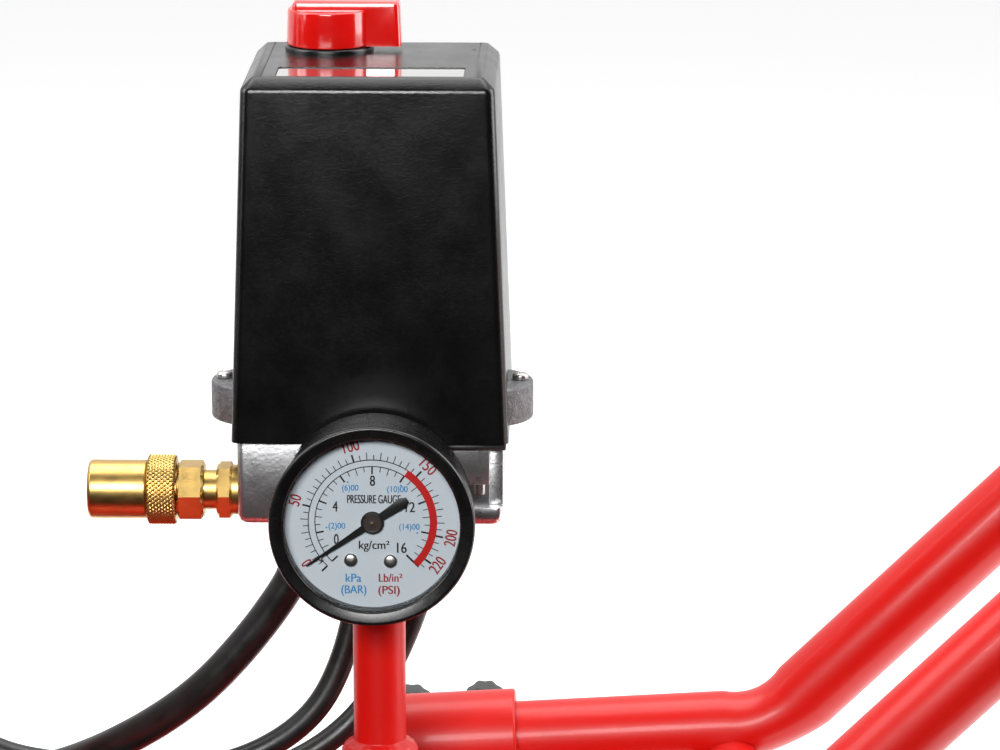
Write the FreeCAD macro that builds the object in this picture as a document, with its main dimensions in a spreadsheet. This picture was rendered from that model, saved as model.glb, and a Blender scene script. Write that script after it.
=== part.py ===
# Portable belt-driven air compressor: horizontal receiver on two wheels, pump and motor on a deck,
# and a riser pipe that carries the pressure switch, its gauge and the safety valve.
# X runs along the receiver towards the handle, Y across it, Z up. Millimetres.
import FreeCAD, Part
import Sketcher
import math
import os
from FreeCAD import Placement, Rotation, Vector

os.makedirs("parts", exist_ok=True)
doc = FreeCAD.newDocument("air_compressor")
sheet = doc.addObject("Spreadsheet::Sheet", "Sizes")
nodes = {}


class Size:
    """A length with its value and the sheet expression that gives it."""

    def __init__(self, value, text):
        self.value = value
        self.text = text

    def _join(self, other, sign, result):
        other = asSize(other)
        return Size(result(self.value, other.value), f"({self.text} {sign} {other.text})")

    def __add__(self, other):
        return self._join(other, "+", lambda a, b: a + b)

    def __sub__(self, other):
        return self._join(other, "-", lambda a, b: a - b)

    def __mul__(self, other):
        return self._join(other, "*", lambda a, b: a * b)

    def __truediv__(self, other):
        return self._join(other, "/", lambda a, b: a / b)

    def __radd__(self, other):
        return asSize(other) + self

    def __rsub__(self, other):
        return asSize(other) - self

    def __rmul__(self, other):
        return asSize(other) * self

    def __neg__(self):
        return Size(-self.value, f"(-1 * {self.text})")


def asSize(number):
    return number if isinstance(number, Size) else Size(float(number), repr(float(number)))


def size(name, value):
    row = size.row
    sheet.set(f"A{row}", name)
    sheet.set(f"B{row}", str(value))
    sheet.setAlias(f"B{row}", name)
    size.row = row + 1
    return Size(float(value), f"Sizes.{name}")


size.row = 1

# Clearances: a running fit, a seat between separate pieces, and a gap between moving neighbours.
runFit = size("runFit", 0.05)
seatGap = size("seatGap", 0.3)
moveGap = size("moveGap", 1.0)

# Receiver and running gear.
tankRadius = size("tankRadius", 150)
tankLength = size("tankLength", 720)
tankWall = size("tankWall", 3)
domeDepth = size("domeDepth", 60)
groundClearance = size("groundClearance", 60)
riserToTankEnd = size("riserToTankEnd", 110)
wheelRadius = size("wheelRadius", 100)
wheelWidth = size("wheelWidth", 44)
rimRadius = size("rimRadius", 62)
hubRadius = size("hubRadius", 17)
axleRadius = size("axleRadius", 8)
wheelToSide = size("wheelToSide", 16)
wheelInset = size("wheelInset", 55)
bracketPlate = size("bracketPlate", 6)
bracketWidth = size("bracketWidth", 90)
footRadius = size("footRadius", 20)
footHeight = size("footHeight", 25)
footSpread = size("footSpread", 95)

# Deck with the pump and the motor.
deckHeight = size("deckHeight", 40)
deckPlate = size("deckPlate", 6)
deckLength = size("deckLength", 425)
deckWidth = size("deckWidth", 230)
deckToRiser = size("deckToRiser", 170)
shaftHeight = size("shaftHeight", 76)
pumpToDeckEnd = size("pumpToDeckEnd", 125)
checkToRiser = size("checkToRiser", 154)
pulleyDistance = size("pulleyDistance", 190)
caseWidth = size("caseWidth", 130)
caseDepth = size("caseDepth", 120)
caseHeight = size("caseHeight", 122)
caseWall = size("caseWall", 7)
cylinderRadius = size("cylinderRadius", 40)
cylinderBore = size("cylinderBore", 28)
cylinderHeight = size("cylinderHeight", 82)
finRadius = size("finRadius", 54)
finThickness = size("finThickness", 3)
headWidth = size("headWidth", 106)
headHeight = size("headHeight", 42)
crankRadius = size("crankRadius", 10)
pistonHeight = size("pistonHeight", 36)
flywheelRadius = size("flywheelRadius", 112)
pulleyRadius = size("pulleyRadius", 38)
grooveWidth = size("grooveWidth", 20)
beltThickness = size("beltThickness", 8)
beltWidth = size("beltWidth", 12)
beltPlane = size("beltPlane", 142)
guardGap = size("guardGap", 18)
guardDepth = size("guardDepth", 52)
motorRadius = size("motorRadius", 62)
motorBore = size("motorBore", 50)
motorLength = size("motorLength", 170)
motorFinHeight = size("motorFinHeight", 8)
shaftRadius = size("shaftRadius", 9.5)
cowlLength = size("cowlLength", 42)
boxHeight = size("boxHeight", 40)
pipeRadius = size("pipeRadius", 7)
filterRadius = size("filterRadius", 32)
filterLength = size("filterLength", 52)

# Riser, pressure switch, gauge and safety valve. headRise is the gauge axis above the receiver's top.
headRise = size("headRise", 112)
riserRadius = size("riserRadius", 8.6)
riserBore = size("riserBore", 6.3)
socketRadius = size("socketRadius", 12.5)
socketHeight = size("socketHeight", 26)
manifoldWidth = size("manifoldWidth", 84.8)
manifoldFront = size("manifoldFront", 15)
manifoldBack = size("manifoldBack", 30)
manifoldBelow = size("manifoldBelow", 7.5)
manifoldAbove = size("manifoldAbove", 17.4)
switchShift = size("switchShift", 1.9)
coverFront = size("coverFront", 17.1)
coverBack = size("coverBack", 58.5)
coverBottomWidth = size("coverBottomWidth", 88.4)
coverTopWidth = size("coverTopWidth", 79.8)
coverHeight = size("coverHeight", 117.4)
coverWall = size("coverWall", 2.6)
coverCorner = size("coverCorner", 3.2)
coverChamfer = size("coverChamfer", 3.6)
basePlate = size("basePlate", 2.3)
earRadius = size("earRadius", 16.5)
earReach = size("earReach", 51.8)
earHeight = size("earHeight", 12.2)
earRise = size("earRise", 4.2)
earCentre = size("earCentre", 4.7)
screwReach = size("screwReach", 47.6)
screwRadius = size("screwRadius", 1.5)
knobX = size("knobX", 17)
knobY = size("knobY", 42.5)
knobRadius = size("knobRadius", 13.9)
knobSkirt = size("knobSkirt", 2.6)
knobHeight = size("knobHeight", 10.4)
wingReach = size("wingReach", 23.6)
wingWidth = size("wingWidth", 13)
wingHeight = size("wingHeight", 12.8)
gaugeRadius = size("gaugeRadius", 32.4)
gaugeWindow = size("gaugeWindow", 27.7)
gaugeFront = size("gaugeFront", 45)
gaugeBezel = size("gaugeBezel", 8)
gaugeCaseDepth = size("gaugeCaseDepth", 17)
gaugeCaseRadius = size("gaugeCaseRadius", 31)
gaugeDialDepth = size("gaugeDialDepth", 3.5)
gaugeWall = size("gaugeWall", 2)
valveHexFlats = size("valveHexFlats", 17)
valveNeck = size("valveNeck", 7.6)
valveCapRadius = size("valveCapRadius", 9.5)
valveRingRadius = size("valveRingRadius", 11.4)

# Handle and its clamp sleeves.
armSpread = size("armSpread", 58.5)
tubeRadius = size("tubeRadius", 12.5)
tubeWall = size("tubeWall", 1.8)
tubeBend = size("tubeBend", 42)
gripBend = size("gripBend", 28)
sleeveRadius = size("sleeveRadius", 16.8)
sleeveLength = size("sleeveLength", 50.2)
sleeveStart = size("sleeveStart", 6)
armStart = size("armStart", 14)
armDrop = size("armDrop", 105.3)
armTilt = size("armTilt", 3.44)
armBendX = size("armBendX", 130)
riseAngle = size("riseAngle", 44.4)
gripX = size("gripX", 300)
gripRadius = size("gripRadius", 16.5)
braceRadius = size("braceRadius", 13)
braceX = size("braceX", 117)
clampSpacing = size("clampSpacing", 25.4)
clampRadius = size("clampRadius", 7.6)
clampKnob = size("clampKnob", 11)
clampStand = size("clampStand", 17)
clampThread = size("clampThread", 3)

# Cords.
mainsRadius = size("mainsRadius", 5.75)
leadRadius = size("leadRadius", 4.15)
hoseRadius = size("hoseRadius", 4)
coilRadius = size("coilRadius", 66)

# Places that follow from the sizes. The overall length is centred on X = 0.
wheelX = riserToTankEnd - tankLength + wheelInset
riserX = (wheelRadius - wheelX - gripX - gripRadius) / 2
tankAxis = groundClearance + tankRadius
tankTop = tankAxis + tankRadius
tankX = riserX + riserToTankEnd - tankLength / 2
axleX = riserX + wheelX
headZ = tankTop + headRise
switchX = riserX - switchShift
deckTop = tankTop + deckHeight + deckPlate
deckRight = riserX - deckToRiser
deckX = deckRight - deckLength / 2
shaftZ = deckTop + shaftHeight
pumpX = deckRight - deckLength + pumpToDeckEnd
motorX = pumpX + pulleyDistance
coverBase = headZ + manifoldAbove + basePlate
coverTop = coverBase + coverHeight

turns = {
    "z": Rotation(0, 0, 0),
    "-z": Rotation(Vector(1, 0, 0), 180),
    "x": Rotation(Vector(0, 1, 0), 90),
    "-x": Rotation(Vector(0, 1, 0), -90),
    "y": Rotation(Vector(1, 0, 0), -90),
    "-y": Rotation(Vector(1, 0, 0), 90),
}


def point(*coordinates):
    return Vector(*[asSize(c).value for c in coordinates])


def place(thing, at, axis="z"):
    thing.Placement = Placement(point(*at), turns[axis])
    for letter, coordinate in zip("xyz", at):
        if isinstance(coordinate, Size):
            thing.setExpression(f"Placement.Base.{letter}", coordinate.text)
    return thing


def node(thing, label):
    thing.Label = label
    nodes[label] = thing
    return thing


def bind(thing, name, length):
    length = asSize(length)
    setattr(thing, name, length.value)
    thing.setExpression(name, length.text)


def plane(body, role):
    return next(f for f in body.Origin.OriginFeatures if f.Role == role)


def newSketch(body, role, offset=0):
    sketch = body.newObject("Sketcher::SketchObject", "Sketch")
    sketch.AttachmentSupport = (plane(body, role), [""])
    sketch.MapMode = "FlatFace"
    offset = asSize(offset)
    sketch.AttachmentOffset = Placement(Vector(0, 0, offset.value), Rotation())
    sketch.setExpression("AttachmentOffset.Base.z", offset.text)
    return sketch


def fix(sketch, kind, *arguments, length):
    """A driving dimension of a sketch, bound to the sheet."""
    length = asSize(length)
    index = sketch.addConstraint(Sketcher.Constraint(kind, *arguments, length.value))
    sketch.setExpression(f"Constraints[{index}]", length.text)


def drawOutline(sketch, corners):
    """A closed outline of straight lines through the corners."""
    points = [point(*c, 0) for c in corners]
    first = sketch.GeometryCount
    count = len(points)
    for i in range(count):
        sketch.addGeometry(Part.LineSegment(points[i], points[(i + 1) % count]), False)
    for i in range(count):
        after = first + (i + 1) % count
        sketch.addConstraint(Sketcher.Constraint("Coincident", first + i, 2, after, 1))
        fix(sketch, "DistanceX", -1, 1, first + i, 1, length=corners[i][0])
        fix(sketch, "DistanceY", -1, 1, first + i, 1, length=corners[i][1])


def drawCircle(sketch, x, y, radius):
    index = sketch.addGeometry(Part.Circle(point(x, y, 0), Vector(0, 0, 1), asSize(radius).value), False)
    fix(sketch, "Radius", index, length=radius)
    fix(sketch, "DistanceX", -1, 1, index, 3, length=x)
    fix(sketch, "DistanceY", -1, 1, index, 3, length=y)


def newBody(at, axis):
    return place(doc.addObject("PartDesign::Body", "Body"), at, axis)


def turned(outline, at, axis="z"):
    """A body of revolution. Outline corners are (radius, distance along the axis)."""
    body = newBody(at, axis)
    sketch = newSketch(body, "XZ_Plane")
    drawOutline(sketch, outline)
    revolution = body.newObject("PartDesign::Revolution", "Revolution")
    revolution.Profile = sketch
    revolution.ReferenceAxis = (sketch, ["V_Axis"])
    revolution.Angle = 360
    return body


def padded(outline, length, at, axis="z", holes=()):
    """A prism on the outline, with round holes of (x, y, radius) through it."""
    body = newBody(at, axis)
    sketch = newSketch(body, "XY_Plane")
    drawOutline(sketch, outline)
    for hole in holes:
        drawCircle(sketch, *hole)
    addPad(body, sketch, length)
    return body


def addPad(body, sketch, length):
    pad = body.newObject("PartDesign::Pad", "Pad")
    pad.Profile = sketch
    bind(pad, "Length", length)
    return pad


def addPattern(body, kind, feature, count, extent, reference):
    pattern = body.newObject(f"PartDesign::{kind}", "Pattern")
    pattern.Originals = [feature]
    pattern.Occurrences = count
    if kind == "LinearPattern":
        pattern.Direction = reference
        bind(pattern, "Length", extent)
    else:
        pattern.Axis = reference
        pattern.Angle = extent
    body.Tip = pattern
    return pattern


def tube(outer, inner, length, at, axis="z"):
    return turned([(inner, 0), (outer, 0), (outer, length), (inner, length)], at, axis)


def rectangle(width, depth, x=0, y=0):
    left, right = asSize(x) - asSize(width) / 2, asSize(x) + asSize(width) / 2
    front, back = asSize(y) - asSize(depth) / 2, asSize(y) + asSize(depth) / 2
    return [(left, front), (right, front), (right, back), (left, back)]


def polygon(flats, sides=6, x=0, y=0):
    reach = asSize(flats) / (2 * math.cos(math.pi / sides))
    angles = [2 * math.pi * (i + 0.5) / sides for i in range(sides)]
    return [(x + reach * math.cos(a), y + reach * math.sin(a)) for a in angles]


def box(width, depth, height, at):
    """A box with its bottom centre at the point."""
    block = doc.addObject("Part::Box", "Box")
    bind(block, "Length", width)
    bind(block, "Width", depth)
    bind(block, "Height", height)
    x, y, z = [asSize(c) for c in at]
    return place(block, (x - asSize(width) / 2, y - asSize(depth) / 2, z))


def rod(radius, length, at, axis="z"):
    cylinder = doc.addObject("Part::Cylinder", "Rod")
    bind(cylinder, "Radius", radius)
    bind(cylinder, "Height", length)
    return place(cylinder, at, axis)


def join(*pieces):
    fusion = doc.addObject("Part::MultiFuse", "Fusion")
    fusion.Shapes = list(pieces)
    return fusion


def carve(piece, *tools):
    cut = doc.addObject("Part::Cut", "Cut")
    cut.Base = piece
    cut.Tool = tools[0] if len(tools) == 1 else join(*tools)
    return cut


def group(*pieces):
    compound = doc.addObject("Part::Compound", "Group")
    compound.Links = list(pieces)
    return compound


def overlap(first, second):
    common = doc.addObject("Part::Common", "Common")
    common.Base = first
    common.Tool = second
    return common


def tankSolid(radius, dome):
    """The receiver's cylinder with its two dished ends, solid."""
    straight = tankLength - domeDepth * 2
    ends = []
    for side in (-1, 1):
        end = doc.addObject("Part::Ellipsoid", "Dome")
        bind(end, "Radius1", dome)
        bind(end, "Radius2", radius)
        bind(end, "Radius3", radius)
        place(end, (tankX + straight * side / 2, 0, tankAxis), "x")
        ends.append(end)
    barrel = rod(radius, straight, (tankX - straight / 2, 0, tankAxis), "x")
    return join(barrel, *ends)


def saddled(piece):
    """The piece cut to sit on the receiver's round side."""
    return carve(piece, rod(tankRadius, tankLength, (tankX - tankLength / 2, 0, tankAxis), "x"))


def roundedPath(points, bends=None):
    """Straight runs joined by tangent arcs. Without bends, each arc is as large as its runs allow."""
    corners = [point(*p) for p in points]
    edges = []
    radii = []
    start = corners[0]
    for i in range(1, len(corners) - 1):
        before, after = corners[i] - corners[i - 1], corners[i + 1] - corners[i]
        half = before.getAngle(after) / 2
        if bends is None:
            arc = 0.45 * min(before.Length, after.Length) / math.tan(half)
        else:
            arc = asSize(bends[i - 1]).value
        setback = arc * math.tan(half)
        before.normalize()
        after.normalize()
        entry, leave = corners[i] - before * setback, corners[i] + after * setback
        inward = after - before
        inward.normalize()
        centre = corners[i] + inward * (arc / math.cos(half))
        edges.append(Part.LineSegment(start, entry).toShape())
        edges.append(Part.Arc(entry, centre - inward * arc, leave).toShape())
        radii.append(arc)
        start = leave
    edges.append(Part.LineSegment(start, corners[-1]).toShape())
    return Part.Wire(edges), radii


def swept(wire, radius):
    start = wire.OrderedVertexes[0].Point
    heading = wire.OrderedEdges[0].tangentAt(wire.OrderedEdges[0].FirstParameter)
    ring = Part.Wire([Part.Circle(start, heading, asSize(radius).value).toShape()])
    return wire.makePipeShell([ring], True, False)


def feature(shape, label):
    thing = doc.addObject("Part::Feature", label)
    thing.Shape = shape
    return node(thing, label)


def cord(label, points, radius):
    """A cord's tube along its route. Prints its length and the radii of its turns."""
    wire, radii = roundedPath(points)
    solid = swept(wire, radius)
    share = solid.Volume / (math.pi * asSize(radius).value ** 2 * wire.Length)
    print(f"{label}: {wire.Length:.0f} mm, volume share {share:.3f}, radii", [round(r) for r in radii])
    return feature(solid, label)


# ---- receiver ----
tankPorts = [
    rod(riserBore, tankRadius, (riserX, 0, tankAxis), "z"),
    rod(riserBore, tankRadius, (riserX - checkToRiser, 0, tankAxis), "z"),
    rod(5, tankRadius, (tankX, 0, tankAxis), "-z"),
]
tankInside = tankSolid(tankRadius - tankWall, domeDepth - tankWall)
outletPort = rod(riserBore, domeDepth, (riserX + riserToTankEnd - domeDepth / 2, 0, tankAxis), "x")
tankBarrel = carve(tankSolid(tankRadius, domeDepth), tankInside, outletPort, *tankPorts)
node(tankBarrel, "tank_shell")

# ---- wheels ----
axleZ = wheelRadius
sideInner = tankRadius + wheelToSide
bracketTop = tankAxis + 30
bracketFoot = axleZ - 26
for side, name in ((-1, "front"), (1, "rear")):
    axis = "y" if side > 0 else "-y"
    inner = side * (sideInner + seatGap)
    rim = turned(
        [
            (axleRadius + runFit, 0),
            (hubRadius, 0),
            (hubRadius, wheelWidth / 2 - 4),
            (rimRadius - 5, wheelWidth / 2 - 4),
            (rimRadius - 5, 4),
            (rimRadius, 4),
            (rimRadius, wheelWidth - 4),
            (rimRadius - 5, wheelWidth - 4),
            (rimRadius - 5, wheelWidth / 2 + 4),
            (hubRadius, wheelWidth / 2 + 4),
            (hubRadius, wheelWidth),
            (axleRadius + runFit, wheelWidth),
        ],
        (axleX, inner, axleZ),
        axis,
    )
    node(rim, f"wheel_rim_{name}")
    tyre = turned(
        [
            (rimRadius, 4),
            (rimRadius + 6, 1),
            (wheelRadius - 12, 0),
            (wheelRadius - 3, 7),
            (wheelRadius, 14),
            (wheelRadius, wheelWidth - 14),
            (wheelRadius - 3, wheelWidth - 7),
            (wheelRadius - 12, wheelWidth),
            (rimRadius + 6, wheelWidth - 1),
            (rimRadius, wheelWidth - 4),
        ],
        (axleX, inner, axleZ),
        axis,
    )
    node(tyre, f"tyre_{name}")

# Stub axles on side plates that are welded to the receiver.
axlePieces = []
bracketPieces = []
stubRoot = sideInner - wheelToSide
stubEnd = sideInner + seatGap + wheelWidth
for side in (-1, 1):
    axis = "y" if side > 0 else "-y"
    flangeInner = side * (sideInner - bracketPlate)
    plate = padded(
        rectangle(bracketWidth, bracketTop - bracketFoot, 0, (bracketTop + bracketFoot) * (-side / 2)),
        bracketPlate,
        (axleX, flangeInner, 0),
        axis,
        holes=[(0, axleZ * -side, axleRadius + runFit)],
    )
    spacer = box(
        bracketWidth,
        wheelToSide + tankRadius / 2,
        bracketPlate,
        (axleX, side * (sideInner - bracketPlate - (wheelToSide + tankRadius / 2) / 2), tankAxis - 20),
    )
    bracketPieces.append(saddled(join(plate, spacer)))
    axlePieces.append(
        turned(
            [
                (0, 0),
                (hubRadius - 4, 0),
                (hubRadius - 4, 6),
                (axleRadius, 6),
                (axleRadius, stubEnd + 5 - (sideInner - bracketPlate - 6)),
                (0, stubEnd + 5 - (sideInner - bracketPlate - 6)),
            ],
            (axleX, side * (sideInner - bracketPlate - 6), axleZ),
            axis,
        )
    )
capAt = stubEnd + seatGap
axleCaps = [
    turned(
        [
            (axleRadius, 0),
            (hubRadius - 3, 0),
            (hubRadius - 3, 5),
            (hubRadius - 7, 8),
            (0, 8),
            (0, 5),
            (axleRadius, 5),
        ],
        (axleX, side * capAt, axleZ),
        "y" if side > 0 else "-y",
    )
    for side in (-1, 1)
]
node(group(*axlePieces, *axleCaps), "wheel_axles")

# ---- front legs with rubber feet ----
legX = riserX + 30
legPlate = padded(
    [
        (footSpread + 30, footHeight),
        (footSpread + 30, footHeight + 12),
        (tankRadius - 12, tankAxis - 10),
        (12 - tankRadius, tankAxis - 10),
        (-1 * footSpread - 30, footHeight + 12),
        (-1 * footSpread - 30, footHeight),
    ],
    bracketPlate,
    (legX - 20, 0, 0),
    "z",
)
legPlate.Placement = Placement(point(legX - 20, 0, 0), Rotation(Vector(1, 1, 1), 120))
legFlange = padded(
    rectangle(44, footSpread * 2 + 60, 2),
    bracketPlate,
    (legX, 0, footHeight),
    holes=[(0, footSpread * side, 4.2) for side in (-1, 1)],
)
node(group(saddled(join(legPlate, legFlange)), *bracketPieces), "support_brackets")
feet = [
    turned(
        [
            (0, 0),
            (footRadius, 0),
            (footRadius, 6),
            (footRadius - 4, footHeight),
            (4, footHeight),
            (4, footHeight + 14),
            (0, footHeight + 14),
        ],
        (legX, footSpread * side, 0),
    )
    for side in (-1, 1)
]
node(group(*feet), "foot_pads")

# ---- condensate drain ----
drainFlange = saddled(
    turned([(4, 0), (10, 0), (10, 16), (4, 16)], (tankX, 0, groundClearance + 2 - 14))
)
drainBody = turned([(0, 0), (7, 0), (7, 12), (4, 12), (4, 14), (0, 14)], (tankX, 0, groundClearance - 26))
node(group(drainFlange, drainBody), "drain_valve")
drainKnob = join(
    tube(9.5, 7 + runFit, 5, (tankX, 0, groundClearance - 24)),
    box(12, 4, 5, (tankX + 15, 0, groundClearance - 24)),
    box(12, 4, 5, (tankX - 15, 0, groundClearance - 24)),
)
node(drainKnob, "drain_knob")

# ---- outlet on the handle end ----
outletX = riserX + riserToTankEnd
outletBody = turned(
    [
        (4, -6),
        (12, -6),
        (12, 14),
        (8, 14),
        (8, 22),
        (14, 24),
        (14, 50),
        (8, 52),
        (8, 62),
        (4, 62),
    ],
    (outletX, 0, tankAxis),
    "x",
)
outletCut = carve(outletBody, tankSolid(tankRadius, domeDepth), rod(3.05, 30, (outletX + 37, 0, tankAxis)))
coupler = turned(
    [(3.5, 0), (11, 0), (11, 8), (12.5, 9), (12.5, 26), (10, 28), (6, 28), (6, 38), (3.5, 38)],
    (outletX + 62 + seatGap, 0, tankAxis),
    "x",
)
node(group(outletCut, coupler), "outlet_valve")
lever = join(
    rod(3, 16, (outletX + 37, 0, tankAxis + 6)),
    box(60, 11, 3, (outletX + 61, 0, tankAxis + 17)),
)
node(lever, "outlet_lever")

# ---- deck ----
deckRibs = [
    padded(
        rectangle(5, deckWidth - 50, x), deckHeight + 60, (deckX, 0, tankTop - 60)
    )
    for x in (-150, 0, 150)
]
deckSheet = padded(rectangle(deckLength, deckWidth), deckPlate, (deckX, 0, tankTop + deckHeight))
node(saddled(join(deckSheet, *deckRibs)), "pump_deck")

# ---- pump ----
crankcaseBlock = join(
    box(caseWidth, caseDepth, caseHeight, (pumpX, 0, deckTop)),
    box(caseWidth + 34, caseDepth - 10, 12, (pumpX, 0, deckTop)),
)
caseInside = box(
    caseWidth - caseWall * 2, caseDepth - caseWall * 2, caseHeight - caseWall - 12, (pumpX, 0, deckTop + 12)
)
shaftHole = rod(crankRadius + runFit, caseDepth, (pumpX, 0, shaftZ), "y")
cylinderHole = rod(cylinderBore + seatGap, caseWall * 2, (pumpX, 0, deckTop + caseHeight - caseWall))
node(carve(crankcaseBlock, caseInside, shaftHole, cylinderHole), "crankcase")

cylinderZ = deckTop + caseHeight
barrel = tube(cylinderRadius, cylinderBore, cylinderHeight, (pumpX, 0, cylinderZ))
finSketch = newSketch(barrel, "XY_Plane", 8)
drawCircle(finSketch, 0, 0, finRadius)
drawCircle(finSketch, 0, 0, cylinderRadius - 2)
finPad = addPad(barrel, finSketch, finThickness)
addPattern(barrel, "LinearPattern", finPad, 8, cylinderHeight - 18, (finSketch, ["N_Axis"]))
node(barrel, "cylinder")

headZ0 = cylinderZ + cylinderHeight
headBody = padded(rectangle(headWidth, headWidth), headHeight, (pumpX, 0, headZ0))
doc.recompute()
upright = [
    f"Edge{i + 1}"
    for i, edge in enumerate(headBody.Shape.Edges)
    if abs(edge.tangentAt(edge.FirstParameter).z) > 0.99
]
headPad = headBody.Tip
headFillet = headBody.newObject("PartDesign::Fillet", "Fillet")
headFillet.Base = (headPad, upright)
headFillet.Radius = 12
ribSketch = newSketch(headBody, "XY_Plane", headHeight - 1)
drawOutline(ribSketch, rectangle(4, headWidth - 26, -36))
ribPad = addPad(headBody, ribSketch, 11)
addPattern(headBody, "LinearPattern", ribPad, 7, 72, (ribSketch, ["H_Axis"]))
headPort = rod(pipeRadius + seatGap, 20, (pumpX + headWidth / 2 - 12, 0, headZ0 + 22), "x")
filterPort = rod(9, 30, (pumpX, headWidth / -2 + 12, headZ0 + 22), "-y")
headHoles = [
    rod(4, headHeight + 4, (pumpX + 44 * sx, 44 * sy, headZ0)) for sx in (-1, 1) for sy in (-1, 1)
]
node(carve(headBody, headPort, filterPort, *headHoles), "cylinder_head")
headBolts = [
    turned(
        [
            (0, -8),
            (3.9, -8),
            (3.9, headHeight + 0.2),
            (7, headHeight + 0.2),
            (7, headHeight + 7),
            (0, headHeight + 7),
        ],
        (pumpX + 44 * sx, 44 * sy, headZ0),
    )
    for sx in (-1, 1)
    for sy in (-1, 1)
]
node(group(*headBolts), "head_bolts")

flywheelY = beltPlane
crankThrow = 16
crankPieces = join(
    rod(crankRadius, flywheelY + grooveWidth / 2 + 12 + 14, (pumpX, -14, shaftZ), "y"),
    box(26, 12, 58, (pumpX, 20, shaftZ - 24)),
    rod(crankRadius - 2, 22, (pumpX, -8, shaftZ + crankThrow), "y"),
)
node(crankPieces, "crankshaft")
pistonZ = cylinderZ + 22
pistonPiece = join(
    rod(cylinderBore - runFit, pistonHeight, (pumpX, 0, pistonZ)),
    box(14, 10, pistonZ - shaftZ - 26, (pumpX, 0, shaftZ + 26 + moveGap)),
)
node(pistonPiece, "piston")
intake = join(
    rod(8.6, 22, (pumpX, headWidth / -2 + 11, headZ0 + 22), "-y"),
    turned(
        [
            (0, 0),
            (filterRadius - 4, 0),
            (filterRadius, 4),
            (filterRadius, filterLength - 6),
            (filterRadius - 8, filterLength),
            (0, filterLength),
        ],
        (pumpX, headWidth / -2 - 10, headZ0 + 22),
        "-y",
    ),
)
node(intake, "intake_filter")


# ---- belt drive ----
def grooved(radius, hub, web, at):
    """A vee pulley with a hub, a web and one groove in its rim."""
    half = grooveWidth / 2 + 3
    depth = beltThickness + 2
    return turned(
        [
            (web, -1 * half - 4),
            (hub, -1 * half - 4),
            (hub, -4),
            (radius - depth - 6, -4),
            (radius - depth - 6, -1 * half),
            (radius, -1 * half),
            (radius, -1 * grooveWidth / 2 + 3),
            (radius - depth, -1 * beltWidth / 2 + 2),
            (radius - depth, beltWidth / 2 - 2),
            (radius, grooveWidth / 2 - 3),
            (radius, half),
            (radius - depth - 6, half),
            (radius - depth - 6, 4),
            (hub, 4),
            (hub, half + 4),
            (web, half + 4),
        ],
        at,
        "y",
    )


flywheelHub = size("flywheelHub", 26)
flywheelBody = grooved(flywheelRadius, flywheelHub, crankRadius + runFit / 2, (pumpX, flywheelY, shaftZ))
spokeSketch = newSketch(flywheelBody, "XY_Plane", -6)
drawOutline(spokeSketch, [(34, -13), (88, -24), (88, 24), (34, 13)])
spokePocket = flywheelBody.newObject("PartDesign::Pocket", "Pocket")
spokePocket.Profile = spokeSketch
spokePocket.Length = 14
spokePocket.Reversed = True
addPattern(flywheelBody, "PolarPattern", spokePocket, 5, 360, (spokeSketch, ["N_Axis"]))
node(flywheelBody, "flywheel")
pulleyHub = size("pulleyHub", 19)
pulleyBody = grooved(pulleyRadius, pulleyHub, shaftRadius + runFit / 2, (motorX, flywheelY, shaftZ))
node(pulleyBody, "motor_pulley")


def beltOutline(grow):
    """The outline round both pulleys, at a distance from the bottoms of their grooves."""
    large = (flywheelRadius - beltThickness).value + grow
    small = (pulleyRadius - beltThickness).value + grow
    distance = pulleyDistance.value
    lean = math.acos((large - small) / distance)
    left, right = point(pumpX, 0, shaftZ), point(motorX, 0, shaftZ)
    up = Vector(math.cos(lean), 0, math.sin(lean))
    down = Vector(math.cos(lean), 0, -math.sin(lean))
    far = Vector(1, 0, 0)
    return Part.Wire(
        [
            Part.Arc(left + down * large, left - far * large, left + up * large).toShape(),
            Part.LineSegment(left + up * large, right + up * small).toShape(),
            Part.Arc(right + up * small, right + far * small, right + down * small).toShape(),
            Part.LineSegment(right + down * small, left + down * large).toShape(),
        ]
    )


def beltPrism(grow, start, length):
    face = Part.Face(beltOutline(grow))
    face.translate(Vector(0, asSize(start).value, 0))
    return face.extrude(Vector(0, asSize(length).value, 0))


beltInner = seatGap.value
beltOuter = (beltThickness - seatGap).value
beltStart = flywheelY - (beltWidth - 5) / 2
belt = beltPrism(beltOuter, beltStart, beltWidth - 5).cut(beltPrism(beltInner, beltStart, beltWidth - 5))
feature(belt, "drive_belt")

guardGrow = (guardGap + beltThickness).value
guardWall = size("guardWall", 2).value
guardStart = flywheelY - guardDepth / 2
guardBack = beltPrism(guardGrow, guardStart, guardWall)
for x, radius in ((pumpX, crankRadius + moveGap * 3), (motorX, shaftRadius + moveGap * 3)):
    slot = Part.makeCylinder(radius.value, guardWall + 2, point(x, guardStart - 1, shaftZ), Vector(0, 1, 0))
    guardBack = guardBack.cut(slot)
feature(guardBack, "guard_back")
guardShell = beltPrism(guardGrow, guardStart + guardWall, guardDepth - guardWall)
guardHollow = beltPrism(guardGrow - guardWall, guardStart + guardWall, guardDepth - guardWall * 2)
guardShell = guardShell.cut(guardHollow)
ventPitch = 17
for column in range(-7, 19):
    for row in range(-7, 8):
        vent = point(pumpX + ventPitch * column, guardStart, shaftZ + ventPitch * row)
        reachLarge = math.hypot(ventPitch * column, ventPitch * row)
        reachSmall = math.hypot(ventPitch * column - pulleyDistance.value, ventPitch * row)
        if reachLarge < flywheelRadius.value - 4 or reachSmall < pulleyRadius.value - 4:
            corner = vent + Vector(0, guardWall * 2, 0)
            hole = Part.makeBox(ventPitch - 6, guardDepth.value, ventPitch - 6, corner)
            guardShell = guardShell.cut(hole)
feature(guardShell, "guard_cover")

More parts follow.
